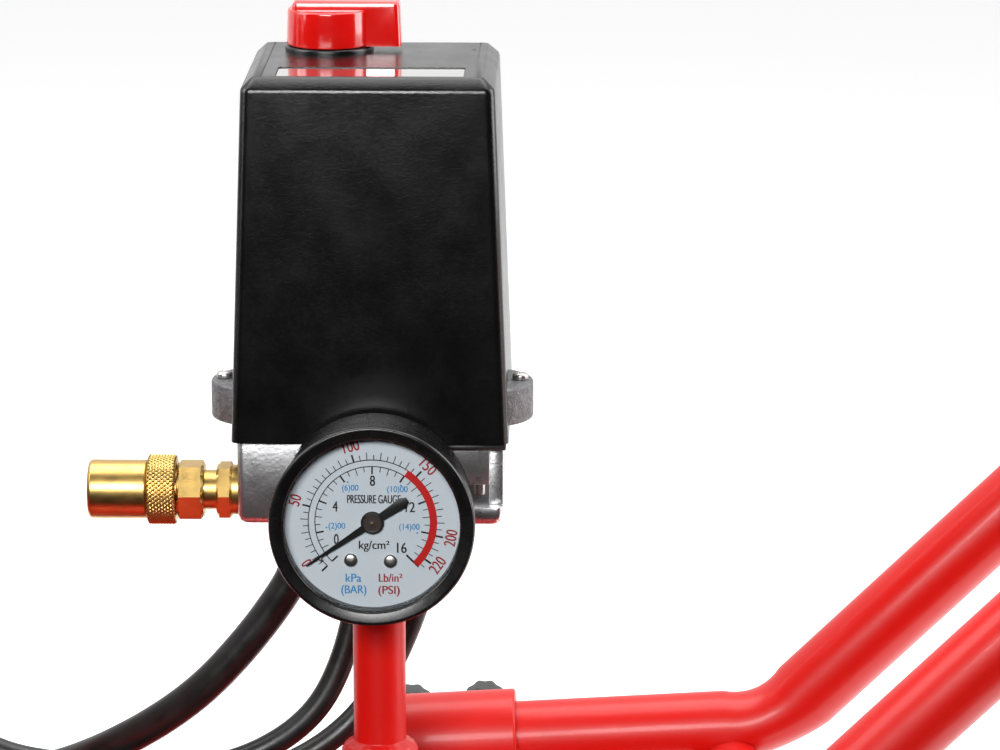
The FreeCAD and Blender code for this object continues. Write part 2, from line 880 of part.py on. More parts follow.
# ---- motor ----
motorFront = (deckWidth / -2) + 20
motorFrame = tube(motorRadius, motorBore, motorLength, (motorX, motorFront, shaftZ), "y")
finCut = newSketch(motorFrame, "XY_Plane", 14)
drawOutline(finCut, rectangle(3, motorFinHeight + 2, 0, motorRadius + motorFinHeight / 2 - 1))
finRib = addPad(motorFrame, finCut, motorLength - 28)
addPattern(motorFrame, "PolarPattern", finRib, 28, 360, (finCut, ["N_Axis"]))
endPlate = tube(motorBore + 8, shaftRadius + runFit, 10, (motorX, motorFront + motorLength, shaftZ), "y")
rearPlate = tube(motorBore + 8, shaftRadius + runFit, 8, (motorX, motorFront - 8, shaftZ), "y")
motorFeet = [
    carve(
        box(motorRadius * 2 + 30, 26, 30, (motorX, motorFront + motorLength / 2 + 50 * side, deckTop)),
        rod(motorRadius - 1, motorLength, (motorX, motorFront, shaftZ), "y"),
    )
    for side in (-1, 1)
]
node(join(motorFrame, endPlate, rearPlate, *motorFeet), "motor_frame")
rotor = turned(
    [
        (0, -16),
        (shaftRadius, -16),
        (shaftRadius, 14),
        (motorBore - 1, 16),
        (motorBore - 1, motorLength - 16),
        (shaftRadius, motorLength - 14),
        (shaftRadius, beltPlane - motorFront + grooveWidth / 2 + 10),
        (0, beltPlane - motorFront + grooveWidth / 2 + 10),
    ],
    (motorX, motorFront, shaftZ),
    "y",
)
fanHub = tube(16, shaftRadius, 12, (motorX, motorFront - 14, shaftZ), "-y")
fanHub.Placement = Placement(point(motorX, motorFront - 11, shaftZ), turns["-y"])
bladeSketch = newSketch(fanHub, "XY_Plane", 1)
drawOutline(bladeSketch, rectangle(2, 34, 0, 31))
bladePad = addPad(fanHub, bladeSketch, 9)
addPattern(fanHub, "PolarPattern", bladePad, 7, 360, (bladeSketch, ["N_Axis"]))
node(group(rotor, fanHub), "motor_rotor")
cowl = turned(
    [
        (motorRadius + 2, 8),
        (motorRadius + 5, 8),
        (motorRadius + 5, 6 - cowlLength),
        (motorRadius - 4, -1 * cowlLength),
        (0, -1 * cowlLength),
        (0, 2 - cowlLength),
        (motorRadius - 6, 2 - cowlLength),
        (motorRadius + 2, 8 - cowlLength),
    ],
    (motorX, motorFront, shaftZ),
    "y",
)
slitSketch = newSketch(cowl, "XY_Plane", -1 * cowlLength - 1)
drawOutline(slitSketch, rectangle(5, 30, 0, 34))
slitPocket = cowl.newObject("PartDesign::Pocket", "Pocket")
slitPocket.Profile = slitSketch
slitPocket.Length = 6
slitPocket.Reversed = True
addPattern(cowl, "PolarPattern", slitPocket, 16, 360, (slitSketch, ["N_Axis"]))
node(cowl, "fan_cowl")
terminalBox = carve(
    box(80, 84, boxHeight + 14, (motorX, motorFront + 90, shaftZ + motorRadius - 2)),
    box(72, 76, boxHeight - 8, (motorX, motorFront + 90, shaftZ + motorRadius + 16)),
    rod(motorRadius + motorFinHeight + 0.4, motorLength, (motorX, motorFront, shaftZ), "y"),
    rod(leadRadius + seatGap, 30, (motorX + 30, motorFront + 90, shaftZ + motorRadius + 30), "x"),
)
node(terminalBox, "terminal_box")

# ---- discharge pipe and check valve ----
checkX = riserX - checkToRiser
checkTop = tankTop + 46
pipeWire = roundedPath(
    [
        (pumpX + headWidth / 2 - 11, 0, headZ0 + 22),
        (checkX, 0, headZ0 + 22),
        (checkX, 0, checkTop + seatGap),
    ],
    [size("pipeBend", 34)],
)[0]
feature(swept(pipeWire, pipeRadius).cut(swept(pipeWire, pipeRadius - 1.2)), "discharge_pipe")
checkBody = turned(
    [(5, -4), (11.5, -4), (11.5, 7), (9, 7), (9, 10), (13, 10), (13, 32), (9, 34), (9, 46), (5, 46)],
    (checkX, 0, tankTop),
)
elbowZ = tankTop + 17
hoseElbow = tube(5.5, hoseRadius - 1, 13, (checkX + 12, 0, elbowZ), "x")
checkJoined = carve(join(checkBody, hoseElbow), rod(hoseRadius - 1, 26, (checkX + 2, 0, elbowZ), "x"))
node(saddled(checkJoined), "check_valve")

# ---- riser ----
riserFoot = tankTop + 8
riserTop = headZ - 2.5
riserTube = tube(riserRadius, riserBore, riserTop - riserFoot, (riserX, 0, riserFoot))
riserSocket = tube(socketRadius, riserRadius + seatGap / 2, socketHeight + 2, (riserX, 0, tankTop - 2))
node(group(riserTube, saddled(riserSocket)), "riser_pipe")

# ---- pressure switch ----
manifoldDepth = manifoldFront + manifoldBack
manifoldMiddle = (manifoldBack - manifoldFront) / 2
manifoldBlock = padded(
    rectangle(manifoldWidth, manifoldDepth, 0, manifoldMiddle),
    manifoldBelow + manifoldAbove,
    (switchX, 0, headZ - manifoldBelow),
)
doc.recompute()
lowEdges = [
    f"Edge{i + 1}"
    for i, edge in enumerate(manifoldBlock.Shape.Edges)
    if edge.BoundBox.ZMax < headZ.value - manifoldBelow.value + 0.01
]
manifoldPad = manifoldBlock.Tip
manifoldFillet = manifoldBlock.newObject("PartDesign::Fillet", "Fillet")
manifoldFillet.Base = (manifoldPad, lowEdges)
manifoldFillet.Radius = 2
unloaderX = switchX + 37.2
manifoldPorts = [
    rod(riserRadius + seatGap / 2, 14, (riserX, 0, headZ - manifoldBelow - 1)),
    rod(5, 40, (riserX, 0, headZ), "-x"),
    rod(5.2, manifoldFront + 2, (riserX, 0, headZ), "-y"),
    rod(6, 14, (switchX - manifoldWidth / 2 - 1, 0, headZ), "x"),
]
bossRecess = box(16, 12, 20, (unloaderX + 1, manifoldFront * -1, headZ - 2.5))
padEnd = 22
padMiddle = riserX + (padEnd - switchShift - manifoldWidth / 2) / 2
raisedPad = box(
    padEnd + switchShift + manifoldWidth / 2,
    manifoldDepth,
    basePlate + 0.9,
    (padMiddle, manifoldMiddle, headZ + manifoldAbove - 1),
)
node(join(carve(manifoldBlock, *manifoldPorts, bossRecess), raisedPad), "switch_manifold")
unloader = turned(
    [(0, -5), (2.2, -5), (2.2, 0), (2.9, 0), (2.9, 9.5), (0, 9.5)],
    (unloaderX, -12.2, headZ + 7.5),
)
node(unloader, "unloader_valve")

coverDepth = coverFront + coverBack
coverMiddle = (coverBack - coverFront) / 2
baseSheet = padded(
    rectangle(coverBottomWidth - 1.6, coverDepth - 2, 0, coverMiddle),
    basePlate - 0.1,
    (switchX, 0, headZ + manifoldAbove + 0.05),
    holes=[(x, manifoldBack + 12, 6) for x in (-23.1, -4.1, 19.9)],
)
padClearAt = (riserX + padEnd + seatGap - 40, manifoldMiddle - 4.7, headZ + manifoldAbove - 1)
padClear = box(80, manifoldDepth + 10, 6, padClearAt)
node(carve(baseSheet, padClear), "switch_base")

# The cover's side lugs and their screws.
earTop = coverBase + earRise + earHeight
ears = []
for side in (-1, 1):
    column = rod(
        earRadius, earHeight, (switchX + (earReach - earRadius) * side, earCentre, coverBase + earRise)
    )
    inner = coverBottomWidth / 2 - 2
    outside = box(
        earReach - inner,
        earRadius * 2,
        earHeight,
        (switchX + (earReach + inner) * side / 2, earCentre, coverBase + earRise),
    )
    ears.append(overlap(column, outside))
earHoles = [
    rod(screwRadius + runFit, 14, (switchX + screwReach * side, earCentre, earTop - 11))
    for side in (-1, 1)
]
screws = [
    turned(
        [(0, -10.5), (screwRadius, -10.5), (screwRadius, 0), (2.6, 0), (2.6, 1.4), (1.6, 2.2), (0, 2.2)],
        (switchX + screwReach * side, earCentre, earTop + 0.05),
    )
    for side in (-1, 1)
]
node(group(*screws), "cover_screws")


def clippedRectangle(width, depth, clip, y):
    """A rectangle with its four corners cut off."""
    across, along = asSize(width) / 2, asSize(depth) / 2
    near, far = asSize(y) - along, asSize(y) + along
    return [
        (clip - across, near),
        (across - clip, near),
        (across, near + clip),
        (across, far - clip),
        (across - clip, far),
        (clip - across, far),
        (-1 * across, far - clip),
        (-1 * across, near + clip),
    ]


def coverSection(body, width, inset, height):
    """The cover's outline at a height, drawn in from its widest front and back by the inset."""
    sketch = newSketch(body, "XY_Plane", height)
    outline = clippedRectangle(width - inset * 2, coverDepth - inset * 2, coverCorner, coverMiddle)
    drawOutline(sketch, outline)
    return sketch


cover = newBody((switchX, 0, coverBase), "z")
shoulder = coverHeight - coverChamfer
outer = cover.newObject("PartDesign::AdditiveLoft", "Shell")
outer.Profile = coverSection(cover, coverBottomWidth, 0, 0)
outer.Sections = [
    coverSection(cover, coverTopWidth, 0, shoulder),
    coverSection(cover, coverTopWidth, coverChamfer, coverHeight),
]
outer.Ruled = True
cavity = cover.newObject("PartDesign::SubtractiveLoft", "Cavity")
cavity.Profile = coverSection(cover, coverBottomWidth, coverWall, 0)
cavity.Sections = [coverSection(cover, coverTopWidth, coverWall, shoulder)]
cavity.Ruled = True
knobPort = rod(4.6, 16, (riserX - knobX, knobY, coverTop - 8))
labelRecess = box(62, 22, 1, (switchX, -2.5, coverTop - 0.6))
knobCollar = tube(knobRadius + 0.5, 4.6, knobSkirt + 1, (riserX - knobX, knobY, coverTop - 1))
node(carve(join(cover, knobCollar, *ears), knobPort, labelRecess, *earHoles), "switch_cover")

knobLow = coverTop + knobSkirt + seatGap
wingAt = (riserX - knobX + (wingReach - knobRadius + 3) / 2, knobY, knobLow)
knobBody = join(
    rod(knobRadius, knobHeight, (riserX - knobX, knobY, knobLow)),
    rod(4.5, 24, (riserX - knobX, knobY, knobLow - 20)),
    box(wingReach + knobRadius - 3, wingWidth, wingHeight, wingAt),
)
node(knobBody, "selector_knob")

blockBase = coverBase + 2
contactBlock = carve(
    box(66, 46, 54, (switchX, coverMiddle + 3, blockBase)),
    box(50, 30, 20, (switchX, coverMiddle + 3, blockBase + 40)),
    rod(7, 40, (riserX, 0, blockBase - 1)),
)
node(contactBlock, "contact_block")

glandXs = [riserX - 25, riserX - 6, riserX + 18]
glandY = manifoldBack + 12
glandTop = headZ + manifoldAbove
cordRadii = [mainsRadius, leadRadius, hoseRadius]
glands = [
    turned(
        [
            (radius + 0.15, -26),
            (radius + 1.6, -26),
            (radius + 3.2, -18),
            (radius + 3.2, -10),
            (radius + 4, -9),
            (radius + 4, 0),
            (radius + 0.15, 0),
        ],
        (x, glandY, glandTop),
    )
    for x, radius in zip(glandXs, cordRadii)
]
node(group(*glands), "cable_glands")

# ---- gauge ----
# Distances along the gauge axis count from its front face towards the manifold.
gaugeAt = (riserX, -1 * gaugeFront, headZ)
caseFront = size("caseFront", 3)
caseBack = gaugeBezel + gaugeCaseDepth
windowSeat = gaugeWindow + 1.5
bezel = turned(
    [
        (gaugeWindow, 0.6),
        (gaugeWindow + 1.4, 0),
        (gaugeRadius - 1.2, 0),
        (gaugeRadius, 1.4),
        (gaugeRadius, gaugeBezel),
        (gaugeCaseRadius + 0.1, gaugeBezel),
        (gaugeCaseRadius + 0.1, caseFront - 0.2),
        (gaugeWindow, caseFront - 0.2),
    ],
    gaugeAt,
    "y",
)
node(bezel, "gauge_bezel")
caseShell = turned(
    [
        (windowSeat, caseFront + 0.1),
        (gaugeCaseRadius, caseFront + 0.1),
        (gaugeCaseRadius, caseBack - 2),
        (gaugeCaseRadius - 2, caseBack),
        (6.6, caseBack),
        (6.6, caseBack - gaugeWall),
        (windowSeat, caseBack - gaugeWall),
    ],
    gaugeAt,
    "y",
)
node(caseShell, "gauge_case")
dialAt = caseFront + gaugeDialDepth
discRadius = windowSeat - 0.1
dial = turned(
    [(3, dialAt), (discRadius, dialAt), (discRadius, dialAt + 0.8), (3, dialAt + 0.8)],
    gaugeAt,
    "y",
)
node(dial, "gauge_dial")
lens = turned(
    [(0, caseFront), (discRadius, caseFront), (discRadius, caseFront + 1.6), (0, caseFront + 1.6)],
    gaugeAt,
    "y",
)
node(lens, "gauge_lens")
stemLength = gaugeFront - caseBack + 7.4 - manifoldFront
gaugeStem = join(
    tube(6.4, 2.5, stemLength, (riserX, -1 * gaugeFront + caseBack - 8, headZ), "y"),
    padded(
        polygon(14),
        gaugeFront - caseBack - manifoldFront - 1,
        (riserX, -1 * gaugeFront + caseBack + 0.5, headZ),
        "y",
        holes=[(0, 0, 2.5)],
    ),
    tube(5.1, 2.5, 6, (riserX, -1 * manifoldFront - 0.6, headZ), "y"),
)
movement = join(
    tube(22, 18, 5, (riserX, -1 * gaugeFront + dialAt + 4.5, headZ), "y"),
    box(8, 5, 20, (riserX + 20, -1 * gaugeFront + dialAt + 7, headZ - 10)),
)
node(group(gaugeStem, movement), "gauge_movement")
pointerTurn = 214.3
needle = padded(
    [(-13, -1.9), (-11, -2.2), (0, -1.5), (24.5, -0.25), (24.5, 0.25), (0, 1.5), (-11, 2.2), (-13, 1.9)],
    0.6,
    (riserX, -1 * gaugeFront + dialAt - 0.5, headZ),
    "-y",
)
needle.Placement = Placement(
    point(riserX, -1 * gaugeFront + dialAt - 0.5, headZ),
    Rotation(Vector(0, -1, 0), pointerTurn) * turns["-y"],
)
pointer = join(
    needle,
    rod(3.9, 1.2, (riserX, -1 * gaugeFront + dialAt - 0.4, headZ), "-y"),
    rod(1.1, 9, (riserX, -1 * gaugeFront + dialAt - 1, headZ), "y"),
)
node(pointer, "gauge_pointer")

# ---- safety valve ----
# Distances along the valve axis count from the manifold's left face.
valveX = switchX - manifoldWidth / 2
ringStart = size("ringStart", 20.6)
ringLength = size("ringLength", 9.4)
valveBody = turned(
    [
        (0, -8),
        (5.9, -8),
        (5.9, 0.1),
        (7, 0.1),
        (7, 3),
        (6.4, 3),
        (6.4, 11.5),
        (valveNeck, 11.5),
        (valveNeck, ringStart + ringLength + seatGap),
        (valveCapRadius, ringStart + ringLength + seatGap),
        (valveCapRadius, 47),
        (valveCapRadius - 1, 49),
        (0, 49),
    ],
    (valveX, 0, headZ),
    "-x",
)
valveHexes = [
    padded(polygon(flats), length, (valveX - start, 0, headZ), "-x")
    for flats, start, length in (
        (valveHexFlats - 0.8, 3, 4.9),
        (valveHexFlats, 11.6, ringStart - 11.6 - seatGap),
    )
]
node(join(valveBody, *valveHexes), "safety_valve")
valveRing = tube(valveRingRadius, valveNeck + runFit, ringLength, (valveX - ringStart, 0, headZ), "-x")
node(valveRing, "safety_valve_ring")


# ---- handle ----
def armZ(x):
    """Height of the straight arms' centre line at a distance from the riser."""
    return headZ - armDrop + asSize(x) * math.tan(math.radians(armTilt.value))


riseSlope = math.tan(math.radians(riseAngle.value))
gripZ = armZ(armBendX) + (gripX - armBendX) * riseSlope
armFoot = -1 * armStart
handlePoints = [
    (riserX + armFoot, -1 * armSpread, armZ(armFoot)),
    (riserX + armBendX, -1 * armSpread, armZ(armBendX)),
    (riserX + gripX, -1 * armSpread, gripZ),
    (riserX + gripX, armSpread, gripZ),
    (riserX + armBendX, armSpread, armZ(armBendX)),
    (riserX + armFoot, armSpread, armZ(armFoot)),
]
handleWire = roundedPath(handlePoints, [tubeBend, gripBend, gripBend, tubeBend])[0]
handleShell = swept(handleWire, tubeRadius).cut(swept(handleWire, tubeRadius - tubeWall))
braceZ = armZ(braceX) - 14
brace = Part.makeCylinder(
    braceRadius.value, armSpread.value * 2, point(riserX + braceX, -1 * armSpread, braceZ), Vector(0, 1, 0)
)
handleSolid = swept(handleWire, tubeRadius)
feature(handleShell.fuse(brace.cut(handleSolid)), "handle_tube")
gripLength = armSpread * 2 - gripBend * 2 - 2
gripAt = (riserX + gripX, gripLength / -2, gripZ)
node(tube(gripRadius, tubeRadius + runFit, gripLength, gripAt, "y"), "handle_grip")

armTurn = Rotation(Vector(0, 1, 0), 90 - armTilt.value)
sleeves = []
sleeveMiddle = sleeveLength / 2 - sleeveStart
clampXs = [sleeveMiddle - clampSpacing / 2, sleeveMiddle + clampSpacing / 2]
for side in (-1, 1):
    outward = "y" if side > 0 else "-y"
    sleeve = tube(sleeveRadius, tubeRadius + runFit * 2, sleeveLength, (0, 0, 0))
    sleeve.Placement = Placement(
        point(riserX - sleeveStart, armSpread * side, armZ(-1 * sleeveStart)), armTurn
    )
    stand = box(sleeveLength - 14, 6, 60, (riserX + sleeveMiddle, armSpread * side, tankTop - 45))
    bossY = side * (armSpread + sleeveRadius - 1.5)
    holeY = side * (armSpread + tubeRadius - 1)
    bosses = [rod(6, 6, (riserX + x, bossY, armZ(x)), outward) for x in clampXs]
    clampHoles = [rod(clampThread + runFit, 12, (riserX + x, holeY, armZ(x)), outward) for x in clampXs]
    inside = rod(tubeRadius + runFit * 2, sleeveLength + 20, (0, 0, 0))
    inside.Placement = Placement(
        point(riserX - sleeveStart - 10, armSpread * side, armZ(-1 * sleeveStart - 10)), armTurn
    )
    sleeves.append(carve(join(sleeve, saddled(stand), *bosses), inside, *clampHoles))
node(group(*sleeves), "handle_sleeves")
for side, name in ((-1, "front"), (1, "rear")):
    for x, number in zip(clampXs, (1, 2)):
        start = tubeRadius + seatGap
        clamp = turned(
            [
                (0, start),
                (clampThread, start),
                (clampThread, sleeveRadius + clampStand),
                (clampRadius, sleeveRadius + clampStand),
                (clampRadius, sleeveRadius + clampStand + clampKnob),
                (0, sleeveRadius + clampStand + clampKnob),
            ],
            (riserX + x, armSpread * side, armZ(x)),
            "y" if side > 0 else "-y",
        )
        node(clamp, f"clamp_screw_{name}_{number}")

# ---- cords ----
glandEnd = glandTop - 20
floorRun = mainsRadius + 0.25
leadEndX = riserX - 188
coilX = leadEndX - coilRadius - mainsRadius * 3 - seatGap
coilY = size("coilY", 300)
mainsPoints = [
    (glandXs[0], glandY, glandEnd),
    (glandXs[0], glandY, headZ - 32),
    (riserX - 41, 41, headZ - 58),
    (riserX - 66, 41, headZ - 86),
    (riserX - 104, 54, headZ - 111),
    (riserX - 136, 92, headZ - 129),
    (riserX - 150, 140, headZ - 182),
    (riserX - 153, 166, headZ - 260),
    (riserX - 155, 172, headZ - 340),
    (riserX - 159, 180, headZ - 406),
    (riserX - 166, 198, headZ - 446),
    (riserX - 176, 228, 8),
    (riserX - 184, 264, floorRun),
    (leadEndX, 300, floorRun),
]
cord("mains_lead", mainsPoints, mainsRadius)
node(
    tube(coilRadius + mainsRadius * 2, coilRadius - mainsRadius * 2, mainsRadius * 4, (coilX, coilY, 0.1)),
    "mains_coil",
)
plugX = coilX - coilRadius - mainsRadius * 2 - 20
plug = join(
    box(36, 28, 26, (plugX, coilY, 1)),
    *[rod(2.4, 19, (plugX - 18, coilY + 9.5 * side, 14), "-x") for side in (-1, 1)],
)
node(plug, "mains_plug")
leadPoints = [
    (glandXs[1], glandY, glandEnd),
    (glandXs[1], glandY, headZ - 26),
    (riserX - 12, 36, headZ - 66),
    (riserX - 26, 31, headZ - 91),
    (riserX - 58, 28, headZ - 106),
    (riserX - 100, 44, headZ - 110),
    (riserX - 138, 50, headZ - 106),
    (riserX - 157, 48, headZ - 82),
    (riserX - 165, 41, headZ - 44),
    (riserX - 180, 28, headZ + 2),
    (riserX - 184, 12, headZ + 50),
    (riserX - 192, 0, headZ + 84),
    (riserX - 214, motorFront + 90, shaftZ + motorRadius + 30),
    (motorX + 42, motorFront + 90, shaftZ + motorRadius + 30),
]
cord("motor_lead", leadPoints, leadRadius)
hosePoints = [
    (glandXs[2], glandY, glandEnd),
    (glandXs[2], glandY, headZ - 28),
    (riserX + 5, 30, headZ - 66),
    (riserX - 14, 20, headZ - 91),
    (riserX - 46, 14, headZ - 105),
    (riserX - 78, 5, headZ - 101),
    (riserX - 104, 0, elbowZ),
    (checkX + 25, 0, elbowZ),
]
cord("unloader_hose", hosePoints, hoseRadius)

# ---- check and write ----
doc.recompute()
broken = [o.Label for o in doc.Objects if "Invalid" in o.State or "Error" in o.State]
if broken:
    raise RuntimeError(f"features that failed: {broken}")
for label, thing in nodes.items():
    if thing.Shape.isNull() or not thing.Shape.isValid():
        raise RuntimeError(f"{label} has no valid shape")
for label, thing in nodes.items():
    thing.Shape.exportStep(f"parts/{label}.step")
print(len(nodes), "nodes")
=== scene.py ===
# Looks of a belt-driven workshop air compressor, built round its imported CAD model. Metres, +Z up.
import math
import random

import bmesh
import bpy
import numpy as np
from mathutils import Matrix, Vector


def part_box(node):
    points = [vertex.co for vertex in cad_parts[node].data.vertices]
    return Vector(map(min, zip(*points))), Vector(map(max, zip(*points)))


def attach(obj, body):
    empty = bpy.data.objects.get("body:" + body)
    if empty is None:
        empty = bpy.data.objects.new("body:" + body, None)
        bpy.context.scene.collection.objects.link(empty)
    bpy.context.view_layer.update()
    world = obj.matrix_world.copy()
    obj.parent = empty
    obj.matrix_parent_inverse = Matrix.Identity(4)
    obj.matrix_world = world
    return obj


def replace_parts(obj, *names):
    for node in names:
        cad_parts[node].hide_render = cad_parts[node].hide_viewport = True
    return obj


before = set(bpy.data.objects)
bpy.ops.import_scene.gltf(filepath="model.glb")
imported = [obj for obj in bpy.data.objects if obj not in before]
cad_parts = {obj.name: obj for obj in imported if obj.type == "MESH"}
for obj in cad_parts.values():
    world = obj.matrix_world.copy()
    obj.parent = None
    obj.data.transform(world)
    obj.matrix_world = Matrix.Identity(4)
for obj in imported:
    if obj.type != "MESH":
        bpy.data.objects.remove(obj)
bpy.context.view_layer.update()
mm = 0.001
rng = random.Random(7)
scene = bpy.context.scene


def boxOf(name):
    low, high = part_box(name)
    return Vector(low), Vector(high)


def middle(name):
    low, high = boxOf(name)
    return (low + high) / 2


riserAt = middle("riser_pipe")  # the riser stands on the part's middle plane
riserAt.y = 0
gaugeMid = middle("gauge_bezel")
headZ = gaugeMid.z
riserX = riserAt.x

# Shared shader groups


def newGroup(name, inputs, outputs):
    group = bpy.data.node_groups.new(name, "ShaderNodeTree")
    for label, kind, default in inputs:
        item = group.interface.new_socket(label, in_out="INPUT", socket_type="NodeSocket" + kind)
        if default is not None:
            item.default_value = default
    for label, kind in outputs:
        group.interface.new_socket(label, in_out="OUTPUT", socket_type="NodeSocket" + kind)
    return group, group.nodes.new("NodeGroupInput"), group.nodes.new("NodeGroupOutput")


def addNode(tree, kind, values=(), links=(), **settings):
    node = tree.nodes.new("ShaderNode" + kind)
    for key, value in settings.items():
        setattr(node, key, value)
    for socket, value in dict(values).items():
        node.inputs[socket].default_value = value
    for socket, source in dict(links).items():
        tree.links.new(source, node.inputs[socket])
    return node


def maths(tree, operation, a, b=None, clamp=False):
    node = addNode(tree, "Math", operation=operation, use_clamp=clamp)
    for i, value in enumerate((a, b)):
        if isinstance(value, (int, float)):
            node.inputs[i].default_value = value
        elif value is not None:
            tree.links.new(value, node.inputs[i])
    return node.outputs[0]


def blendColor(tree, factor, a, b, mode="MIX"):
    node = addNode(tree, "Mix", data_type="RGBA", blend_type=mode)
    for socket, value in zip((node.inputs[0], node.inputs[6], node.inputs[7]), (factor, a, b)):
        if isinstance(value, (int, float, tuple)):
            socket.default_value = value
        else:
            tree.links.new(value, socket)
    return node.outputs[2]


def noiseNode(tree, coordinates, scale, detail=3.0, rough=0.5):
    node = addNode(tree, "TexNoise", {"Detail": detail, "Roughness": rough}, {"Vector": coordinates})
    if isinstance(scale, (int, float)):
        node.inputs["Scale"].default_value = scale
    else:
        tree.links.new(scale, node.inputs["Scale"])
    return node.outputs["Fac"]


def grainGroup():
    # Fine moulded or cast grain: two sizes of noise, as a height
    group, enter, leave = newGroup(
        "fineGrain",
        [("Grain Scale", "Float", 1500.0), ("Lump Scale", "Float", 300.0), ("Lump Share", "Float", 0.3)],
        [("Height", "Float"), ("Mask", "Float")],
    )
    here = addNode(group, "TexCoord").outputs["Object"]
    fine = noiseNode(group, here, enter.outputs["Grain Scale"], 2.0)
    lumps = noiseNode(group, here, enter.outputs["Lump Scale"], 3.0)
    share = enter.outputs["Lump Share"]
    height = maths(group, "ADD", maths(group, "MULTIPLY", lumps, share), fine)
    group.links.new(height, leave.inputs["Height"])
    group.links.new(lumps, leave.inputs["Mask"])
    return group


def mottleGroup():
    # Uneven colour from broad patches and small specks
    group, enter, leave = newGroup(
        "mottle",
        [
            ("Color A", "Color", (0.5, 0.5, 0.5, 1)),
            ("Color B", "Color", (0.4, 0.4, 0.4, 1)),
            ("Patch Scale", "Float", 40.0),
            ("Speck Scale", "Float", 900.0),
            ("Speck Share", "Float", 0.4),
        ],
        [("Color", "Color"), ("Mask", "Float")],
    )
    here = addNode(group, "TexCoord").outputs["Object"]
    patch = noiseNode(group, here, enter.outputs["Patch Scale"], 4.0, 0.6)
    speck = noiseNode(group, here, enter.outputs["Speck Scale"], 2.0, 0.7)
    specks = maths(group, "MULTIPLY", maths(group, "SUBTRACT", speck, 0.5), enter.outputs["Speck Share"])
    both = maths(group, "ADD", patch, specks)
    spread = addNode(
        group,
        "MapRange",
        {"From Min": 0.34, "From Max": 0.66, "To Min": 0.0, "To Max": 1.0},
        {"Value": both},
    ).outputs["Result"]
    color = blendColor(group, spread, enter.outputs["Color A"], enter.outputs["Color B"])
    group.links.new(color, leave.inputs["Color"])
    group.links.new(spread, leave.inputs["Mask"])
    return group


def wearGroup():
    # Outer edges rubbed to another colour, broken up by noise
    group, enter, leave = newGroup(
        "edgeWear",
        [
            ("Color", "Color", (0.5, 0.5, 0.5, 1)),
            ("Worn Color", "Color", (0.8, 0.8, 0.8, 1)),
            ("Start", "Float", 0.54),
            ("Amount", "Float", 0.6),
        ],
        [("Color", "Color"), ("Mask", "Float")],
    )
    here = addNode(group, "TexCoord").outputs["Object"]
    edges = addNode(group, "NewGeometry").outputs["Pointiness"]
    rough = noiseNode(group, here, 260.0, 4.0, 0.65)
    above = maths(group, "MULTIPLY", maths(group, "SUBTRACT", edges, enter.outputs["Start"]), 14.0, True)
    broken = maths(group, "MULTIPLY", above, maths(group, "GREATER_THAN", rough, 0.42))
    mask = maths(group, "MULTIPLY", broken, enter.outputs["Amount"], True)
    group.links.new(
        blendColor(group, mask, enter.outputs["Color"], enter.outputs["Worn Color"]), leave.inputs["Color"]
    )
    group.links.new(mask, leave.inputs["Mask"])
    return group


def dustGroup():
    # Pale dust that settles on faces that look up, in patches
    group, enter, leave = newGroup(
        "settledDust",
        [
            ("Color", "Color", (0.1, 0.1, 0.1, 1)), ("Dust Color", "Color", (0.5, 0.48, 0.45, 1)),
            ("Amount", "Float", 0.3)
        ],
        [("Color", "Color"), ("Mask", "Float")]
    )
    here = addNode(group, "TexCoord").outputs["Object"]
    normal = addNode(group, "NewGeometry").outputs["Normal"]
    up = addNode(group, "SeparateXYZ", links={0: normal}).outputs["Z"]
    facing = addNode(
        group, "MapRange", {"From Min": 0.2, "From Max": 1.0, "To Min": 0.0, "To Max": 1.0}, {"Value": up}
    ).outputs["Result"]
    patches = noiseNode(group, here, 130.0, 5.0, 0.7)
    mask = maths(
        group, "MULTIPLY", maths(group, "MULTIPLY", facing, patches), enter.outputs["Amount"], True
    )
    group.links.new(
        blendColor(group, mask, enter.outputs["Color"], enter.outputs["Dust Color"]), leave.inputs["Color"]
    )
    group.links.new(mask, leave.inputs["Mask"])
    return group


shared = {"grain": grainGroup(), "mottle": mottleGroup(), "wear": wearGroup(), "dust": dustGroup()}


def useGroup(tree, name, values=(), links=()):
    node = tree.nodes.new("ShaderNodeGroup")
    node.node_tree = shared[name]
    for socket, value in dict(values).items():
        node.inputs[socket].default_value = value
    for socket, source in dict(links).items():
        tree.links.new(source, node.inputs[socket])
    return node


def rgba(color):
    return (*color[:3], 1.0)


